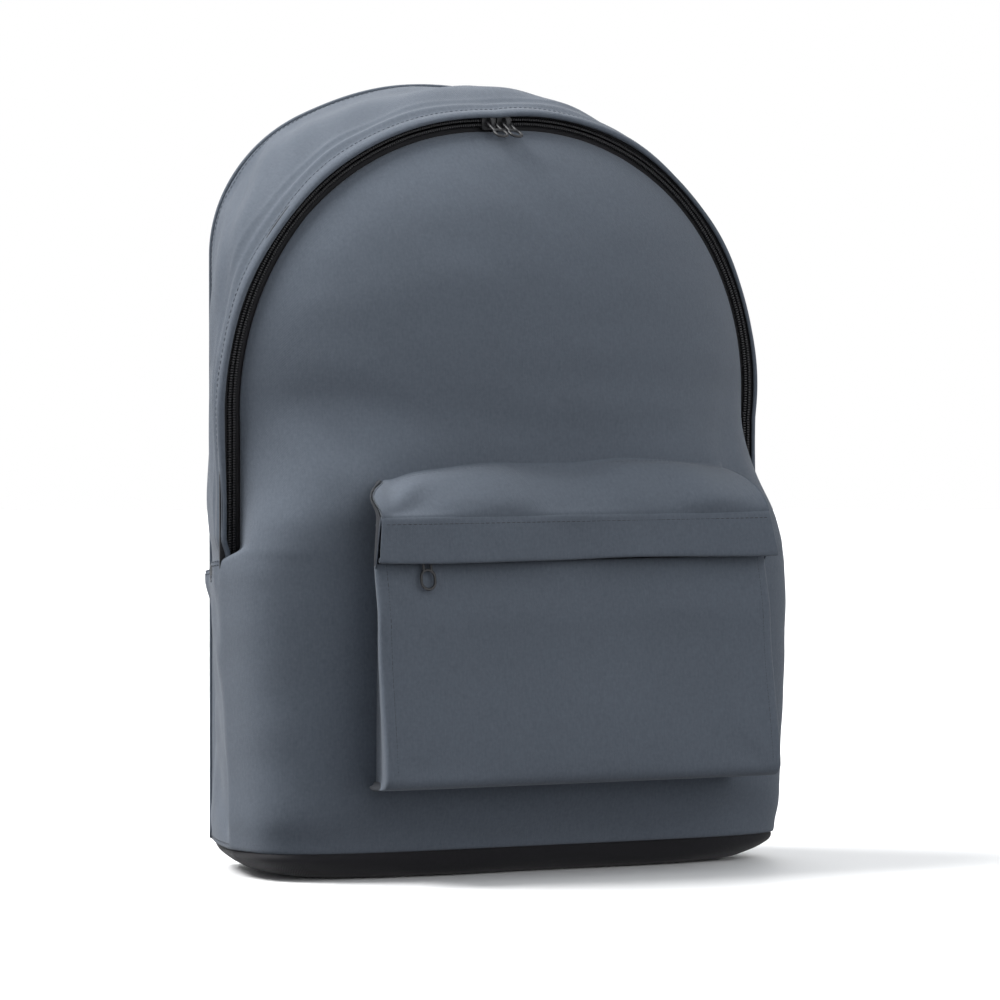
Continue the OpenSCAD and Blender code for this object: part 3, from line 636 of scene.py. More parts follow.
ridges = 0.0011 * np.exp(-((D2 - 0.0075) / 0.0016) ** 2) + 0.0008 * np.exp(-((D2 - 0.0145) / 0.0018) ** 2)
ridges = ridges * (0.75 + 0.25 * waves(pts, 1, 23, 8, (20, 5, 0)))
ridges = ridges - 0.0007 * np.exp(-((D2 - 0.0032) / 0.0014) ** 2)
above_wrap = smooth((gusset[..., 2] - WRAP - 0.004) / 0.03)
keep = smooth((D2 - 0.003) / 0.012) * smooth((BACK_F - D2) / 0.01) * above_wrap
sway = 0.0006 * waves(pts, 1, 25, 8, (16, 3, 0)) * np.exp(-((D2 - 0.002) / 0.01) ** 2)
gusset = gusset + n_out[None] * (long_crease * keep + ridges + sway)[..., None]
# the lower ends go in behind the wrap
tuck = smooth((WRAP + 0.0105 - gusset[..., 2]) / 0.010)
inward = mix(0.0030, 0.0006, smooth((D2 - 0.03) / (BACK_F - 0.03)))
gusset[..., 0] -= np.sign(gusset[..., 0]) * tuck * inward
o = sheet_from("gusset", gusset, [SHELL, LINING], levels=1, wall=0.0013)
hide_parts("top_gusset", "zip_storm_flap")
sew("stitch_gusset_lip", gusset, 8.3, np.linspace(24, len(arc_s) - 25, 300), 1, SHELL)
sew("stitch_gusset_back", gusset, len(gusset) - 4.2, np.linspace(24, len(arc_s) - 25, 300), 1, SHELL)


# ---------- zips ----------
def closed_band(name, rings, mat, body="pack"):
    """A band from a stack of equal open sections, each closed on itself."""
    r, c = rings.shape[:2]
    uv = np.stack(np.broadcast_arrays(np.linspace(0, 0.013, c)[None, :], run(rings[:, 0])[:, None]), -1)
    faces = grid_faces(r, c, False, True)
    faces += [tuple(range(c - 1, -1, -1)), tuple((r - 1) * c + k for k in range(c))]
    return make(name, rings.reshape(-1, 3), faces, mat, uv.reshape(-1, 2), body=body)


def arc_band(name, inside, outside, f0, f1, mat, body="pack"):
    s = stations(21, 121)
    ring = []
    for o, f in ((inside, f0), (outside, f0), (outside, f1), (inside, f1)):
        p = zip_arch(s, o)
        ring.append(at(p[:, 0], f, p[:, 1]))
    return closed_band(name, np.stack(ring, 1), mat, body)


def teeth(name, centre, across, out, a0, a1, mat=COIL, body="pack", pitch=0.00135, shift=0.0, high=0.0021):
    """The turns of a coil zip: short rounded bars across the tape, from a0 to a1 off its middle."""
    s = run(centre)
    n = int(s[-1] / pitch)
    verts, faces, uvs = [], [], []
    for k in range(n):
        x = (k + 0.5 + shift) * s[-1] / n
        c, a, m = (np.array([np.interp(x, s, w[:, i]) for i in range(3)]) for w in (centre, across, out))
        t = np.cross(a, m)
        t /= np.linalg.norm(t)
        base = len(verts)
        for d, rad, lift in ((a0, 0.25, 0.5), (mix(a0, a1, 0.12), 0.95, 0.62), (mix(a0, a1, 0.8), 0.9, 0.58),
                             (a1, 0.55, 0.35)):
            for j in range(6):
                ang = j * math.pi / 3 + math.pi / 6
                verts.append(c + a * d + m * high * (lift + rad * 0.42 * math.sin(ang))
                             + t * rad * pitch * 0.42 * math.cos(ang))
                uvs.append((d, j * 0.0003))
        faces += grid_faces(4, 6, False, True, base)
        faces += [tuple(base + j for j in range(5, -1, -1)), tuple(base + 18 + j for j in range(6))]
    return make(name, verts, faces, mat, uvs, body=body)


def zip_frame(off=0.0):
    s = stations(41, 241)
    p, q = zip_arch(s, 0), zip_arch(s, 0.001)
    c = at(p[:, 0], 0.0004, p[:, 1])
    a = at(q[:, 0], 0.0004, q[:, 1]) - c
    legs = np.abs(s) > 90
    a[legs] = np.stack([np.sign(s[legs]), 0 * s[legs], 0 * s[legs]], -1)
    a /= np.linalg.norm(a, axis=1, keepdims=True)
    return c, a, np.tile([0, -1.0, 0], (len(s), 1))


o = arc_band("zip_tape_outer", 0.00065, 0.0064, -0.0004, 0.0004, TAPE)
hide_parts("main_zip_outer_tape")
o = teeth("zip_teeth_outer", *zip_frame(), 0.0003, 0.0023)
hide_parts("main_zip_outer_coil")
o = arc_band("zip_tape_inner", -0.0092, -0.00065, -0.0004, 0.0004, TAPE, body=None)
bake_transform(o)
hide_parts("main_zip_inner_tape", "zip_lower_ends")
o = teeth("zip_teeth_inner", *zip_frame(), -0.0003, -0.0023, body=None, shift=0.25)
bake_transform(o)
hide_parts("main_zip_inner_coil")


# ---------- the front pocket ----------
def front_f(x, z):
    h = half_low(z)
    return bulge(z) * (1 - np.minimum(np.abs(x) / h, 1) ** exp_n(z)) ** exp_m(z)


POCKET_LOW = pocket_lo.z - 0.004
P_TOP = pocket_hi.z
face_f = YZ - pocket_lo.y


def pocket_face(z):
    return np.where(z > 0.132, mix(0.0915, 0.0855, smooth((z - 0.132) / 0.036)),
                    mix(face_f, 0.0915, smooth((z - POCKET_LOW) / 0.084)))


def pocket_half(z):
    return mix(0.119, 0.117, (z - POCKET_LOW) / 0.180)


def pocket_point(u, z, lift=0.0):
    """u from -1.6 on the body, round the front to 1.6; the face's edges are seamed folds."""
    a, side = np.abs(u), np.where(u < 0, -1.0, 1.0)
    h, f = pocket_half(z), pocket_face(z)
    t = np.clip((a - 1) / 0.6, 0, 1)
    xs = h - 0.013 * smooth(t)
    back = front_f(xs, z) - 0.001
    fs = mix(f - 0.0018, back, t) + 0.0015 * np.sin(math.pi * t)
    xf = h * np.minimum(a, 1)
    ff = f + 0.0012 - 0.0012 * a ** 2 - 0.0018 * np.minimum(a, 1) ** 22 + lift
    return at(side * np.where(a > 1, xs, xf), np.where(a > 1, fs, ff), z)


us_p = np.concatenate([np.linspace(-1.6, -1.0, 9)[:-1], np.linspace(-1, -0.94, 4)[:-1],
                       np.linspace(-0.94, 0.94, 61),
                       np.linspace(0.94, 1, 4)[1:], np.linspace(1.0, 1.6, 9)[1:]])
zs_p = np.concatenate([np.linspace(POCKET_LOW + 0.006, POCKET_LOW + 0.02, 5)[:-1],
                       np.linspace(POCKET_LOW + 0.02, P_TOP, 34)])
UP, ZP = np.meshgrid(us_p, zs_p)
wall_p = pocket_point(UP, ZP)
# the lower edge rolls under and runs back to the body
under = []
first = wall_p[0]
for z, g in ((POCKET_LOW + 0.0035, 0.0012), (POCKET_LOW + 0.0016, 0.0032), (POCKET_LOW + 0.0008, 0.0065),
             (POCKET_LOW + 0.0012, 0.014), (POCKET_LOW + 0.002, 0.4), (POCKET_LOW + 0.003, 1.0)):
    row = first.copy()
    f0 = YZ - first[:, 1]
    target = front_f(np.clip(first[:, 0], -0.105, 0.105), POCKET_LOW + 0.003 + 0 * f0) - 0.001
    room = np.maximum(f0 - target, 0)
    back_by = g * room if g >= 0.4 else np.minimum(g, room)
    row[:, 1] = YZ - (f0 - back_by)
    reach = np.abs(first[:, 0]).max() - (0.013 * g if g >= 0.4 else 0.2 * g)
    row[:, 0] = np.clip(first[:, 0], -reach, reach)
    row[:, 2] = z
    under.append(row)
pocket = np.concatenate([np.stack(under[::-1]), wall_p])
nu = len(under)
pn = -normals_of(pocket)
xs_, zs_ = pocket[..., 0], pocket[..., 2]
aa = np.abs(np.broadcast_to(us_p[None], xs_.shape))
open_cloth = smooth((zs_ - POCKET_LOW - 0.002) / 0.012) * smooth((P_TOP - zs_) / 0.012)
open_cloth = open_cloth * smooth((1 - aa) / 0.08)
d = 0.0005 * waves(pocket, 13, 41, stretch=(1, 0.3, 1))
d = d + 0.00015 * waves(pocket, 42, 42, stretch=(1.3, 0.3, 0.9))
# pulls into the lower corners
for side in (-1, 1):
    lx, lz = 0.118 - side * xs_, zs_ - POCKET_LOW
    for ang, amp, wid in ((0.95, -0.0016, 0.0045), (0.55, 0.0013, 0.005), (1.25, 0.001, 0.005)):
        off = lx * math.sin(ang) - lz * math.cos(ang)
        alng = lx * math.cos(ang) + lz * math.sin(ang)
        d += amp * np.exp(-(off / wid) ** 2) * np.exp(-np.maximum(alng, 0) / 0.022)
# a pull in the upper left corner, under the flap's end
lx, lz = xs_ + 0.118, P_TOP - zs_
d -= 0.0014 * np.exp(-((lx * 0.75 - lz * 0.66) / 0.005) ** 2) * np.exp(-np.maximum(lx + lz, 0) / 0.05)
d += 0.0008 * np.exp(-((zs_ - 0.142) / 0.012) ** 2) * np.sin(xs_ * 55 + 1.0)
pocket = pocket + pn * (d * open_cloth)[..., None]
o = sheet_from("pocket_body", pocket, [SHELL, LINING], levels=1, wall=0.0013)
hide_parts("pocket_wall", "pocket_bottom")
fit = np.linspace(nu + 1.2, len(pocket) - 1.2, 60)
for j, tag in ((10.5, "left"), (len(us_p) - 11.5, "right")):
    sew("stitch_pocket_edge_" + tag, pocket, fit, j, front_side, DARK_THREAD)
sew("stitch_pocket_low", pocket, nu + 1.1, np.linspace(11, len(us_p) - 12, 90), front_side, SHELL)

# the hood, from the body over the pocket's top and down to the flap's seam
HOOD_F = 0.0903
uh = np.concatenate([np.linspace(-1, -0.9, 6)[:-1], np.linspace(-0.9, 0.9, 57), np.linspace(0.9, 1, 6)[1:]])
hood_h = 0.1166
HOOD_TOP = hood_hi.z + 0.0005
# how far forward and how far down each row stands, as shares of the way to the flap's seam
hood_prof = [(-0.02, -0.15), (0.0, 0.0), (0.12, 0.02), (0.25, 0.07), (0.4, 0.15), (0.55, 0.27), (0.69, 0.41),
             (0.81, 0.56), (0.9, 0.69), (0.96, 0.82), (0.99, 0.92), (1.0, 1.0), (0.985, 1.14), (0.93, 1.2),
             (0.84, 1.22), (0.75, 1.23)]


def seam_bow():
    """How the seam between hood and flap bows: out at the middle, in at the very ends."""
    a = np.abs(uh)
    return 0.0010 - 0.0010 * a ** 2 - 0.0012 * a ** 16


def hood_row(px, pz):
    a = np.abs(uh)
    narrow = mix(0.86, 0.94, smooth(uh / 0.3))     # the hood is narrower at the body, less so at the right
    x = hood_h * uh * mix(narrow, 1, smooth(max(px, 0) / 0.8))
    top = HOOD_TOP - np.where(uh > 0, 0.0052, 0.0095) * a ** 2.6
    z = top - pz * (top - flap_hi.z)
    inner = front_f(x, top) - 0.0005
    f = inner + px * (HOOD_F + seam_bow() - inner)
    return at(x, f, z)


hood = np.stack([hood_row(px, pz) for px, pz in hood_prof])
hn = normals_of(hood)
d = 0.0011 * waves(hood, 17, 51) + 0.0007 * waves(hood, 36, 52, stretch=(1.4, 0.6, 0.6))
hx = hood[..., 0]
# pleats that fan from the left end of the flap's seam
for ang, amp in ((0.30, 0.0020), (0.55, -0.0024), (0.82, 0.0018), (1.1, -0.0014)):
    lx, lz = hx + 0.115, hood[..., 2] - 0.190
    off = lx * math.sin(ang) - lz * math.cos(ang)
    d += amp * np.exp(-(off / 0.0035) ** 2) * np.exp(-np.maximum(lx, 0) / 0.035)
prof_i = np.arange(len(hood_prof))[:, None]
keep = smooth(prof_i / 3.0) * smooth((11 - prof_i) / 2.5) * smooth((1 - np.abs(uh))[None] / 0.06)
hood = hood + hn * (d * keep)[..., None]
# its ends close the pocket's sides
hparts, hfaces = [hood.reshape(-1, 3)], grid_faces(len(hood), len(uh), True)
huv = [grid_uv(hood).reshape(-1, 2)]
for side, col in ((-1, 0), (1, -1)):
    edge = hood[1:12, col]
    low = edge[-1].copy()
    low[2] = P_TOP - 0.004
    low[1] += 0.004
    low[0] = side * (pocket_half(P_TOP) - 0.0006)
    edge = np.concatenate([edge, [mix(edge[-1], low, 0.5), low]])
    patch = []
    for t in np.linspace(0, 1, 9):
        sewn = np.minimum(np.abs(edge[:, 0]), pocket_half(edge[:, 2]) - 0.0145)
        x = side * mix(np.abs(edge[:, 0]), sewn, smooth(t))
        back = front_f(x, edge[:, 2]) - 0.001
        f = mix(YZ - edge[:, 1], np.minimum(back, YZ - edge[:, 1]), t)
        patch.append(at(x, f, edge[:, 2]))
    patch = np.stack(patch, 1)
    patch[:, 0] = edge
    base = sum(len(p) for p in hparts)
    hfaces += grid_faces(patch.shape[0], patch.shape[1], side < 0, False, base)
    hparts.append(patch.reshape(-1, 3))
    huv.append(grid_uv(patch).reshape(-1, 2))
o = make("pocket_hood_cloth", np.concatenate(hparts), hfaces, [SHELL, LINING], np.concatenate(huv),
         wall=0.0012)
weld(o, 0.00004)
rounded(o)
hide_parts("pocket_hood")
sew("stitch_hood_body", hood, 2.0, np.linspace(2, len(uh) - 3, 90), 1, SHELL)

# the storm flap over the pocket's zip
FT = flap_hi.z
# below its seam and in front of it, down the face and up behind the hem
flap_rows = [(0.0010, -0.0012), (0.0004, -0.0003), (-0.0008, 0.0004), (-0.0032, 0.0007), (-0.0065, 0.0010),
             (-0.0105, 0.0015), (-0.0145, 0.0021), (-0.0180, 0.0027), (-0.0205, 0.0031), (-0.0222, 0.0032),
             (-0.0230, 0.0026), (-0.0230, 0.0018), (-0.0222, 0.0013), (-0.0200, 0.0011)]


def flap_row(dz, df):
    x = (hood_h + 0.0006 + 0.0026 * smooth(-dz / 0.023)) * uh
    ripple = 0.0006 * np.sin(x * 33 + 0.6) * smooth(-dz / 0.02)
    return at(x, HOOD_F + seam_bow() + df, FT + dz + ripple)


flap = np.stack([flap_row(dz, df) for dz, df in flap_rows])
fn = normals_of(flap)
d = 0.0007 * waves(flap, 26, 61, stretch=(1.2, 0.3, 0.8))
d = d + 0.0004 * waves(flap, 60, 62, stretch=(1.2, 0.3, 0.6))
ri = np.arange(len(flap_rows))[:, None]
keep = smooth((ri - 1) / 4.0) * np.where(ri > 9, 0.9, 1.0)
flap = flap + fn[min(6, len(fn) - 1)][None] * (np.where(ri > 9, d[9][None], d) * keep)[..., None]
o = sheet_from("pocket_flap_cloth", flap, [SHELL, SHELL], flip=True, levels=1, wall=0.0004, body="storm_flap")
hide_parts("pocket_storm_flap")
sew("stitch_flap_top", flap, 3.0, np.linspace(1, len(uh) - 2, 90), 1, DARK_THREAD, body="storm_flap")

# the pocket's zip, under the flap
PZ = (pzip_lo.z + pzip_hi.z) / 2
PF = YZ - (pzip_lo.y + pzip_hi.y) / 2
PH = pzip_hi.x
xs_z = np.linspace(-PH, PH, 60)
for side, name in ((1, "upper"), (-1, "lower")):
    far = 0.0145 if side > 0 else 0.0065
    ring = [at(xs_z, PF + f, PZ + side * o + 0 * xs_z) for o, f in
            ((0.00065, -0.0004), (far, -0.0004), (far, 0.0004), (0.00065, 0.0004))]
    closed_band("pocket_tape_" + name, np.stack(ring, 1), TAPE)
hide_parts("pocket_zip_tape")
centre = at(xs_z, PF + 0.0004, PZ + 0 * xs_z)
upv, outv = np.tile([0, 0, 1.0], (60, 1)), np.tile([0, -1.0, 0], (60, 1))
o = teeth("pocket_teeth_upper", centre, upv, outv, 0.0003, 0.0023)
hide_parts("pocket_zip_coil")
teeth("pocket_teeth_lower", centre, upv, outv, -0.0003, -0.0023, shift=0.25)

# ---------- the base ----------
seam_row = draped[0]
side_l, side_r = side_wall(-1)[0], side_wall(1)[0]
back_edge = at(np.linspace(BACK_HALF, -BACK_HALF, 30), -BACK_F, SEAM)[1:-1]
outline = np.concatenate([side_l[::-1][:-1], seam_row, side_r[1:], back_edge])
cy = YZ + 0.004
ang_s = run(outline)
base_rings = []
for share, z, w in ((0.980, SEAM + 0.0030, 0), (0.984, SEAM + 0.0012, 0), (0.981, SEAM - 0.0012, 1),
                    (0.973, 0.0100, 1), (0.955, 0.0072, 0.8), (0.930, 0.0046, 0.5), (0.895, 0.0026, 0.2),
                    (0.850, 0.0011, 0), (0.79, 0.0003, 0), (0.7, 0.0001, 0), (0.50, 0.0001, 0),
                    (0.25, 0.0001, 0)):
    r = outline.copy()
    wav = 0.0016 * waves(outline, 15, 71, stretch=(1, 1, 0)) * w
    r[:, 0] = outline[:, 0] * (share + wav / 0.16)
    r[:, 1] = cy + (outline[:, 1] - cy) * (share + wav / 0.16)
    r[:, 2] = z + (0.0011 * np.sin(outline[:, 0] * 46 + 1.1) if 0 < w < 0.9 else 0)
    base_rings.append(r)
base_rings = np.stack(base_rings)
base_rings[..., 2] = np.maximum(base_rings[..., 2], 0.00005)
nb = base_rings.shape[1]
uvb = np.stack(np.broadcast_arrays(ang_s[None], run(base_rings[:, 40])[:, None]), -1).copy()
uvb[8:] = base_rings[8:, :, :2]
bf = grid_faces(len(base_rings), nb, True, True)
last = (len(base_rings) - 1) * nb
bf.append(tuple(last + k for k in range(nb)))
o = make("base_cloth", base_rings.reshape(-1, 3), bf, BASE, uvb.reshape(-1, 2), levels=1)
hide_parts("base_panel")
inner = outline.copy()
inner[:, 0] *= 0.86
inner[:, 1] = cy + (inner[:, 1] - cy) * 0.86
inner[:, 2] = 0.0035
rim_faces = [(k, (k + 1) % nb, nb) for k in range(nb)]
o = make("base_lining", np.concatenate([inner, [[0, cy, 0.0035]]]), rim_faces, LINING,
         np.concatenate([inner, [[0, cy, 0]]])[:, :2])

# ---------- finishes for the CAD pieces that are kept ----------
def dress(node, mat, bevel=0.0, levels=2):
    o = frame["nodes"][node]
    o.data.materials.clear()
    o.data.materials.append(mat)
    if bevel:
        b = o.modifiers.new("edges", "BEVEL")
        b.width, b.segments, b.limit_method, b.angle_limit = bevel, levels, "ANGLE", math.radians(35)
        b.harden_normals = False
    return o


# ---------- the back ----------
def back_top(x):
    """Height of the back's outline above a place x on it."""
    s = np.linspace(0, 150, 1501)
    p = back_arch(s, 0, SEAM)
    keep = s <= 90
    return np.interp(np.abs(x), p[keep, 0], p[keep, 1])


def back_plane(y, margin, low, nx=61, nz=64):
    """A grid over the back's outline, set in by margin; its columns stand close together at the sides."""
    xs = (BACK_HALF - margin) * np.sin(np.linspace(-90, 90, nx) * math.pi / 180)
    scale = BACK_HALF / (BACK_HALF - margin)
    tops = back_top(xs * scale) - margin
    t = np.linspace(0, 1, nz)[:, None]
    z = low + (tops[None] - low) * t
    return np.stack([np.broadcast_to(xs, z.shape), np.full(z.shape, y), z], -1)


def groove(d, width):
    return 1 - np.exp(-(d / width) ** 2)


yoke_lo, yoke_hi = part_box("strap_yoke")
back = back_plane(YB, 0.0022, SEAM + 0.002, 97, 110)
bx, bz = back[..., 0], back[..., 2]
edge_d = np.minimum(np.minimum(BACK_HALF - np.abs(bx), back_top(bx) - bz), bz - SEAM)
puff = 0.0042 * smooth(edge_d / 0.016) * smooth((yoke_lo.z - 0.003 - bz) / 0.014)
puff = puff * (0.25 + 0.75 * groove(np.abs(bx) - 0.012, 0.0045)) * np.where(np.abs(bx) < 0.012, 0.55, 1.0)
for zc in (0.075, 0.135, 0.195, 0.255, 0.312):
    along_rib = bz - zc - 0.10 * (np.abs(bx) - 0.012)
    puff = puff * (0.22 + 0.78 * groove(along_rib, 0.004))
from_anchor = np.hypot(np.maximum(np.abs(np.abs(bx) - 0.103) - 0.020, 0), np.maximum(bz - 0.045, 0))
puff = puff * smooth(from_anchor / 0.02)
puff = puff + 0.0005 * waves(back, 22, 81) * smooth(edge_d / 0.02) * smooth((yoke_lo.z - 0.01 - bz) / 0.02)
back = back.copy()
back[..., 1] += np.maximum(puff, -0.0002)
o = sheet_from("back_pad", back, [MESH, LINING], flip=True, levels=1, wall=0.0018)
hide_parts("back_panel")


def tube(name, path, radius, mat, body="pack", sides=8):
    path = np.asarray(path, float)
    t = frames_along(path)
    ref = np.tile([0, 1.0, 0.02], (len(path), 1))
    a = np.cross(t, ref)
    a /= np.linalg.norm(a, axis=1, keepdims=True)
    n = np.cross(t, a)
    ang = np.arange(sides) * 2 * math.pi / sides
    rings = path[:, None] + radius * (a[:, None] * np.cos(ang)[None, :, None]
                                      + n[:, None] * np.sin(ang)[None, :, None])
    uv = np.stack(np.broadcast_arrays((ang * radius)[None], run(path)[:, None]), -1)
    faces = grid_faces(len(path), sides, True, True)
    last = (len(path) - 1) * sides
    faces += [tuple(range(sides)), tuple(range(last + sides - 1, last - 1, -1))]
    return make(name, rings.reshape(-1, 3), faces, mat, uv.reshape(-1, 2), body=body)


# piping round the back's seam
arc_b = stations(40, 181)
p = back_arch(arc_b, 0.0002, SEAM)
tube("back_piping", at(p[:, 0], -BACK_F + 0.0004, p[:, 1]), 0.0013, SHELL)
tube("back_piping_low", at(np.linspace(-BACK_HALF, BACK_HALF, 40), -BACK_F + 0.0004, SEAM + 0.0006),
     0.0013, SHELL)

dress("back_foam", FOAM)
lining = back_plane(lining_lo.y, 0.006, SEAM + 0.004, 61, 70)
lining[..., 1] -= 0.0006 + 0.0005 * waves(lining, 25, 83)
o = sheet_from("back_lining_cloth", lining, LINING, levels=1)
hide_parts("back_lining")
tube_path = back_arch(arc_b, -0.0065, SEAM + 0.005)
p = np.concatenate([at(tube_path[:, 0], -BACK_F + (YB - lining_lo.y) + 0.0018, tube_path[:, 1])])
nrm = np.stack([-np.gradient(tube_path[:, 1]), 0 * arc_b, np.gradient(tube_path[:, 0])], -1)
o = ribbon("seam_binding_cloth", p, nrm, 0.010, 0.0016, WEBBING)
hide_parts("back_seam_binding")

# the laptop sleeve: a slack panel with a bound top edge, sewn to the lining at its sides and bottom
sl_lo, sl_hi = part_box("laptop_sleeve")
su = np.linspace(-1, 1, 61)
prof = []
for t in np.linspace(0, 1, 44):
    z = mix(sl_lo.z, sl_hi.z - 0.006 * (1 - su ** 2) * t, t)
    depth_s = (sl_hi.y - sl_lo.y) * (1 - np.abs(su) ** 8) * min(1, (t / 0.05) ** 0.5 if t > 0 else 0.1)
    prof.append(np.stack([su * (sl_hi.x - 0.001), sl_hi.y - 0.0015 - depth_s, z], -1))
sleeve = np.stack(prof)
ext = smooth((sleeve[..., 2] - sl_lo.z) / 0.03) * (1 - np.abs(su)[None] ** 6)
sleeve[..., 1] += (0.0013 * waves(sleeve, 13, 85) + 0.0006 * waves(sleeve, 40, 86)) * ext
o = sheet_from("laptop_sleeve_cloth", sleeve, LINING, levels=1, wall=0.0012)
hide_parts("laptop_sleeve")
ribbon("sleeve_binding", sleeve[-1] + np.array([0, -0.0002, -0.004]), np.tile([0, 0, 1.0], (61, 1)),
       0.010, 0.0026, WEBBING)


# ---------- yoke, straps and loop ----------
yx = np.linspace(-1, 1, 61)
yz = np.linspace(0, 1, 34)
half_y = yoke_hi.x
rows_y = []
for t in yz:
    x = yx * (half_y - 0.0005)
    top = np.minimum(back_top(np.abs(x)) - 0.0125, yoke_hi.z)
    z = mix(yoke_lo.z, top, t)
    e = np.minimum(np.minimum(half_y - np.abs(x), z - yoke_lo.z), top - z)
    rows_y.append(np.stack([x, YB + 0.0006 + 0.0016 * smooth(e / 0.0025) + 0 * x, z], -1))
yoke = np.stack(rows_y)
o = sheet_from("yoke_cloth", yoke, [STRAP, LINING], flip=True, levels=1, wall=0.001)
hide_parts("strap_yoke")
out_y = np.tile([0, 1.0, 0], (60, 1))
for row, nm in ((1.8, "low"), (len(yz) - 2.8, "top")):
    stitches("stitch_yoke_" + nm, sample(yoke, row, np.linspace(1, len(yx) - 2, 60)), out_y, DARK_THREAD)
for col, nm in ((1.2, "left"), (len(yx) - 2.2, "right")):
    stitches("stitch_yoke_" + nm, sample(yoke, np.linspace(2, len(yz) - 3, 60), col), out_y, DARK_THREAD)

# a strap's line, in millimetres: outward, share of its bow off the back, and height
STRAP_LINE = [(64, 0.26, 376), (66, 0.48, 342), (69, 0.82, 297), (74, 1, 247), (79, 0.94, 197),
              (82, 0.72, 157), (84, 0.5, 126)]
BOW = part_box("shoulder_strap_left")[1].y - YB - 0.006


def catmull(points, n):
    p = np.asarray(points, float)
    out = []
    for i in range(len(p) - 1):
        a, b, c, d = p[max(i - 1, 0)], p[i], p[i + 1], p[min(i + 2, len(p) - 1)]
        for t in np.arange(n + (1 if i == len(p) - 2 else 0)) / n:
            square, cube = 2 * a - 5 * b + 4 * c - d, 3 * b - a - 3 * c + d
            out.append(0.5 * (2 * b + (c - a) * t + square * t * t + cube * t ** 3))
    return np.array(out)


def strap_frame(side):
    line = catmull([(side * x / 1000, YB + b * BOW, z / 1000) for x, b, z in STRAP_LINE], 14)
    t = frames_along(line)
    a = np.cross(np.tile([0, 1.0, 0], (len(line), 1)), t)
    a /= np.linalg.norm(a, axis=1, keepdims=True)
    n = np.cross(t, a)
    s = np.linspace(0, 1, len(line))
    w = 0.056 * mix(mix(0.85, 1, smooth(s * 3)), 0.62, smooth((s - 0.55) * 2.2))
    thick = 0.012 * np.minimum(1, 0.5 + 7 * np.minimum(s, 1 - s))
    return line, t, a, n, s, w, thick


def strap(side, name):
    line, t, a, n, s, w, thick = strap_frame(side)
    if n[len(n) // 2, 1] < 0:
        a, n = -a, -n
    prof = np.concatenate([np.linspace(-1, 1, 19), np.linspace(1, -1, 19)[1:-1]])
    up = np.array([1] * 19 + [-1] * 17)
    puffed = (1 - np.abs(prof) ** 5) ** 0.5
    sewn = 0.72 + 0.28 * groove(np.abs(prof) - 0.80, 0.05)
    h = 0.09 + 0.91 * puffed * sewn
    rings = line[:, None] + a[:, None] * (prof[None, :, None] * w[:, None, None] / 2) \
        + n[:, None] * (up[None, :] * h[None, :] * 0.5 * thick[:, None])[..., None]
    wob = 0.0005 * waves(rings, 26, 90 + side)
    rings = rings + n[:, None] * (wob * (up * puffed)[None])[..., None]
    c = len(prof)
    ang = prof * 0.028
    uv = np.stack(np.broadcast_arrays(ang[None], run(line)[:, None]), -1)
    faces = grid_faces(len(line), c, side < 0, True)
    fm = [0 if (j < 18) else 1 for i in range(len(line) - 1) for j in range(c)]
    last = (len(line) - 1) * c
    ends = [tuple(range(c)), tuple(range(last + c - 1, last - 1, -1))]
    faces += ends if side > 0 else [e[::-1] for e in ends]
    fm += [0, 0]
    o = make("shoulder_strap_%s_pad" % name, rings.reshape(-1, 3), faces, [STRAP, MESH], uv.reshape(-1, 2),
             body="strap_" + name, levels=1, face_mats=fm)
    bm = bmesh.new()
    bm.from_mesh(o.data)
    bmesh.ops.recalc_face_normals(bm, faces=bm.faces)
    bm.to_mesh(o.data)
    bm.free()
    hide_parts("shoulder_strap_" + name)
    inner_s = slice(1, len(line) - 1)
    for e, tag in ((-1, "in"), (1, "out")):
        rim_path = line + a * (e * (w[:, None] / 2 - 0.0004))
        tube("strap_%s_piping_%s" % (name, tag), rim_path[inner_s], 0.0017, WEBBING, body="strap_" + name)
        st = line + a * (e * 0.80 * w[:, None] / 2) + n * (0.5 * thick[:, None] * 0.68)
        stitches("strap_%s_stitch_%s" % (name, tag), st[3:-3], n[3:-3], DARK_THREAD,
                 body="strap_" + name, lift=0.0003)


for side, name in ((-1, "left"), (1, "right")):
    strap(side, name)

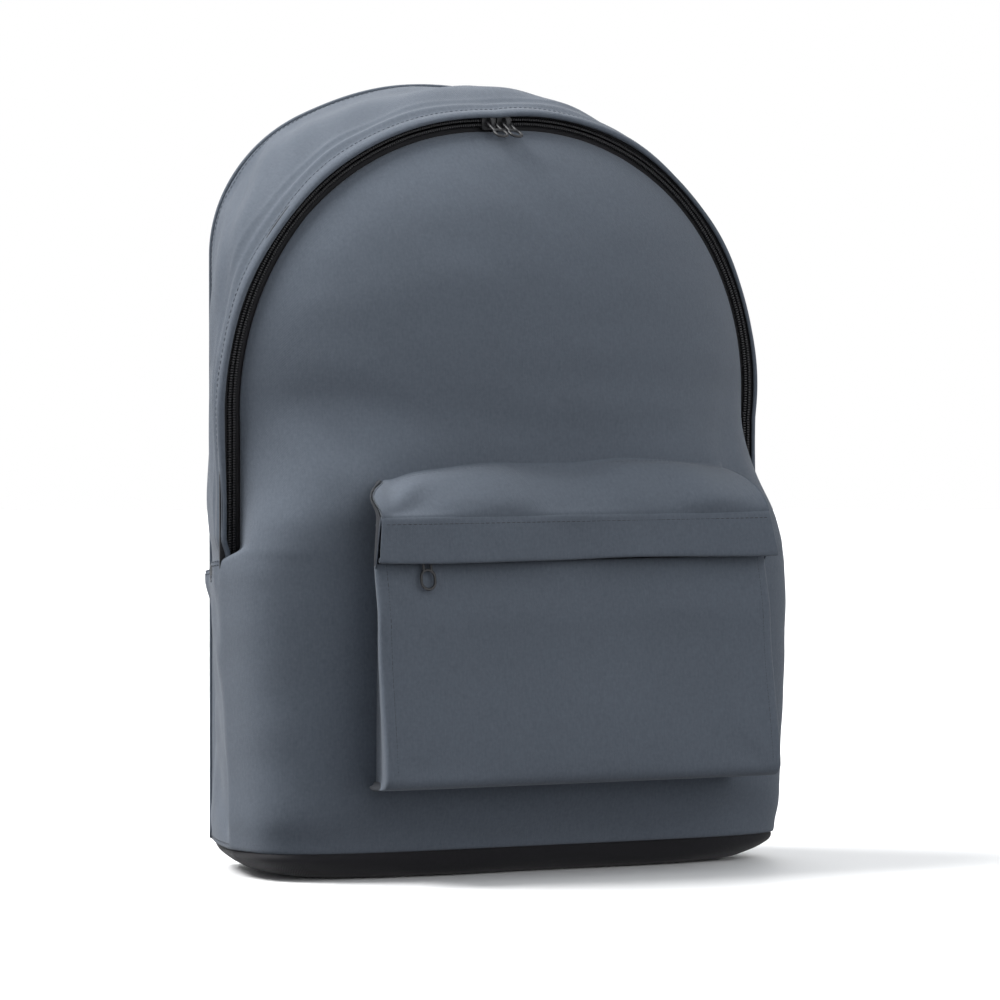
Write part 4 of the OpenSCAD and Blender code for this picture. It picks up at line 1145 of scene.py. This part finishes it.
# webbing from the base's corner up through each lock and down again as a tail
for side, name in ((-1, "left"), (1, "right")):
    centre_l = Vector((side * 0.086, YB + 0.034 * 0.42, 0.100))
    turn = Matrix.Rotation(-side * math.radians(12), 3, "Y")
    r = 0.0016 + 0.00025 + 0.0007
    path2 = np.concatenate([
        catmull([(-11.2, -76), (-9, -60), (-5.2, -30), (-4.4, -12), (-3.4, -2), (-2.2, 2.6)], 8) / 1000,
        np.array([(r * 1.25 * math.cos(math.radians(q)), 0.0009 + r * 1.12 * math.sin(math.radians(q)))
                  for q in range(125, -51, -12)]),
        catmull([(0.2, -4.4), (-1.9, -8), (-2.9, -11.5), (-1.4, -17), (2.5, -30), (3, -52)], 8) / 1000])
    pts3 = np.array([centre_l + turn @ Vector((0, y, z)) for y, z in path2])
    across = np.array(turn @ Vector((1, 0, 0)))
    o = ribbon("webbing_" + name, pts3, np.tile(across, (len(pts3), 1)), 0.025, 0.0014, WEBBING, body=None)
    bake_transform(o)
    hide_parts("lower_webbing_" + name)
    # the keeper: a folded strip sewn into the strap's end, round the lock's top bar
    rk = 0.00225 + 0.00075
    loop = [(0.0006, 0.0125), (0.0011, 0.007), (0.0018, 0.0038)] + \
        [(rk * math.cos(math.radians(q)), rk * math.sin(math.radians(q))) for q in range(50, -231, -20)] + \
        [(-0.0018, 0.0038), (-0.0011, 0.007), (-0.0006, 0.0125)]
    kp = np.array([centre_l + turn @ Vector((0, y, 0.011 + z)) for y, z in loop])
    o = ribbon("keeper_" + name, kp, np.tile(across, (len(kp), 1)), 0.025, 0.0013, WEBBING,
               body="strap_" + name)
    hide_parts("strap_keeper_" + name)
    # the sewn triangle at the base's corner
    tri = []
    for t in np.linspace(0, 1, 12):
        hw = mix(0.0135, 0.0185, t)
        row = []
        for u in np.linspace(-1, 1, 21):
            e = min((1 - abs(u)) * hw, min(t, 1 - t) * 0.010)
            v = centre_l + turn @ Vector((u * hw, 0, -0.076 - 0.010 * t))
            row.append((v.x, YB + 0.0006 + 0.0018 * float(smooth(e / 0.0022)), v.z))
        tri.append(row)
    tri = np.array(tri)
    o = sheet_from("anchor_" + name, tri, [WEBBING, WEBBING], levels=1, wall=0.0012)
    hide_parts("strap_anchor_" + name)
    dress("ladder_lock_" + name, PLASTIC, 0.0005)

# the haul loop: webbing folded to a round handle in the middle
hinge = Vector(JOINTS["haul_loop"]["pos_m"])
lean = Matrix.Rotation(math.radians(24), 3, "X")
lp = catmull([(-27, -4.5, 6), (-27, -1.5, 1.5), (-27, 0, -6), (-21, 0, -32), (-7, 0, -46), (0, 0, -48),
              (7, 0, -46), (21, 0, -32), (27, 0, -6), (27, -1.5, 1.5), (27, -4.5, 6)], 10) / 1000
path_h = np.array([hinge + lean @ Vector(q) for q in lp])
dirs = frames_along(lp)
acr = np.cross(np.tile([0, 1.0, 0], (len(lp), 1)), dirs)
acr = np.array([lean @ Vector(q) for q in acr])
sh = smooth(np.abs(2 * np.linspace(0, 1, len(lp)) - 1))
o = ribbon("haul_loop_webbing", path_h, acr, mix(0.0105, 0.0155, sh), mix(0.0052, 0.0028, sh), WEBBING,
           body="haul_loop",
           levels=2, edge=0.3)
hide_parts("haul_loop")

for name in ("main_slider_left", "main_slider_right", "pocket_slider"):
    dress(name, METAL, 0.0003)
for name in ("main_pull_left", "main_pull_right", "pocket_pull"):
    dress(name, METAL)

# ---------- floor, light and camera ----------
floor_mat, nt, b = shader("floor", (0.86, 0.86, 0.86), 0.6)
me = bpy.data.meshes.new("floor")
me.from_pydata([(-6, -6, 0), (6, -6, 0), (6, 6, 0), (-6, 6, 0)], [], [(0, 1, 2, 3)])
me.materials.append(floor_mat)
floor = bpy.data.objects.new("floor", me)
bpy.context.scene.collection.objects.link(floor)

floor.visible_diffuse = False

# a white room that only the camera sees, so that it doesn't light the object
wall_mat = bpy.data.materials.new("room")
wall_mat.use_nodes = True
wall_nodes = wall_mat.node_tree.nodes
wall_nodes.remove(wall_nodes["Principled BSDF"])
glow = wall_nodes.new("ShaderNodeEmission")
glow.inputs[0].default_value = (1, 1, 1, 1)
glow.inputs[1].default_value = 1.0
wall_mat.node_tree.links.new(glow.outputs[0], wall_nodes["Material Output"].inputs[0])
me = bpy.data.meshes.new("room")
bm = bmesh.new()
bmesh.ops.create_uvsphere(bm, u_segments=32, v_segments=16, radius=5.9)
bm.to_mesh(me)
bm.free()
me.materials.append(wall_mat)
room = bpy.data.objects.new("room", me)
bpy.context.scene.collection.objects.link(room)
room.visible_diffuse = room.visible_glossy = room.visible_shadow = room.visible_transmission = False

scene = bpy.context.scene
world = bpy.data.worlds.new("world")
scene.world = world
world.use_nodes = True
wn = world.node_tree
coord = wn.nodes.new("ShaderNodeTexCoord")
sep = wn.nodes.new("ShaderNodeSeparateXYZ")
wn.links.new(coord.outputs["Generated"], sep.inputs[0])
ramp = wn.nodes.new("ShaderNodeValToRGB")
wn.links.new(math_node(wn, "ADD", math_node(wn, "MULTIPLY", sep.outputs[2], 0.5), 0.5), ramp.inputs[0])
ramp.color_ramp.elements[0].position, ramp.color_ramp.elements[0].color = 0.30, (0.16, 0.16, 0.17, 1)
ramp.color_ramp.elements[1].position, ramp.color_ramp.elements[1].color = 0.80, (0.72, 0.74, 0.76, 1)
wn.links.new(ramp.outputs[0], wn.nodes["Background"].inputs[0])
wn.nodes["Background"].inputs[1].default_value = 1.0
scene.view_settings.view_transform = "Standard"


def sun(name, toward, angle, power):
    light = bpy.data.lights.new(name, "SUN")
    light.angle, light.energy = math.radians(angle), power
    o = bpy.data.objects.new(name, light)
    o.rotation_euler = (-Vector(toward)).to_track_quat("-Z", "Y").to_euler()
    scene.collection.objects.link(o)


sun("key", (-0.5, 0.35, 0.8), 28, 4.2)
sun("fill", (0.3, -0.9, 0.35), 60, 0.72)
sun("behind", (0.45, 1.0, 0.55), 50, 0.9)

AZ = math.radians(-30)
back_dir = Vector((math.sin(AZ), -math.cos(AZ), 0))
right_dir = Vector((math.cos(AZ), math.sin(AZ), 0))
target = Vector((0, YZ, 0.1934)) + right_dir * 0.0037
cam_data = bpy.data.cameras.new("camera")
cam_data.lens, cam_data.sensor_width, cam_data.clip_end = 237.7, 36, 50
cam = bpy.data.objects.new("camera", cam_data)
cam.location = target + back_dir * 3.5 + Vector((0, 0, 0.1066))
cam.rotation_euler = (target - cam.location).to_track_quat("-Z", "Y").to_euler()
scene.collection.objects.link(cam)
scene.camera = cam
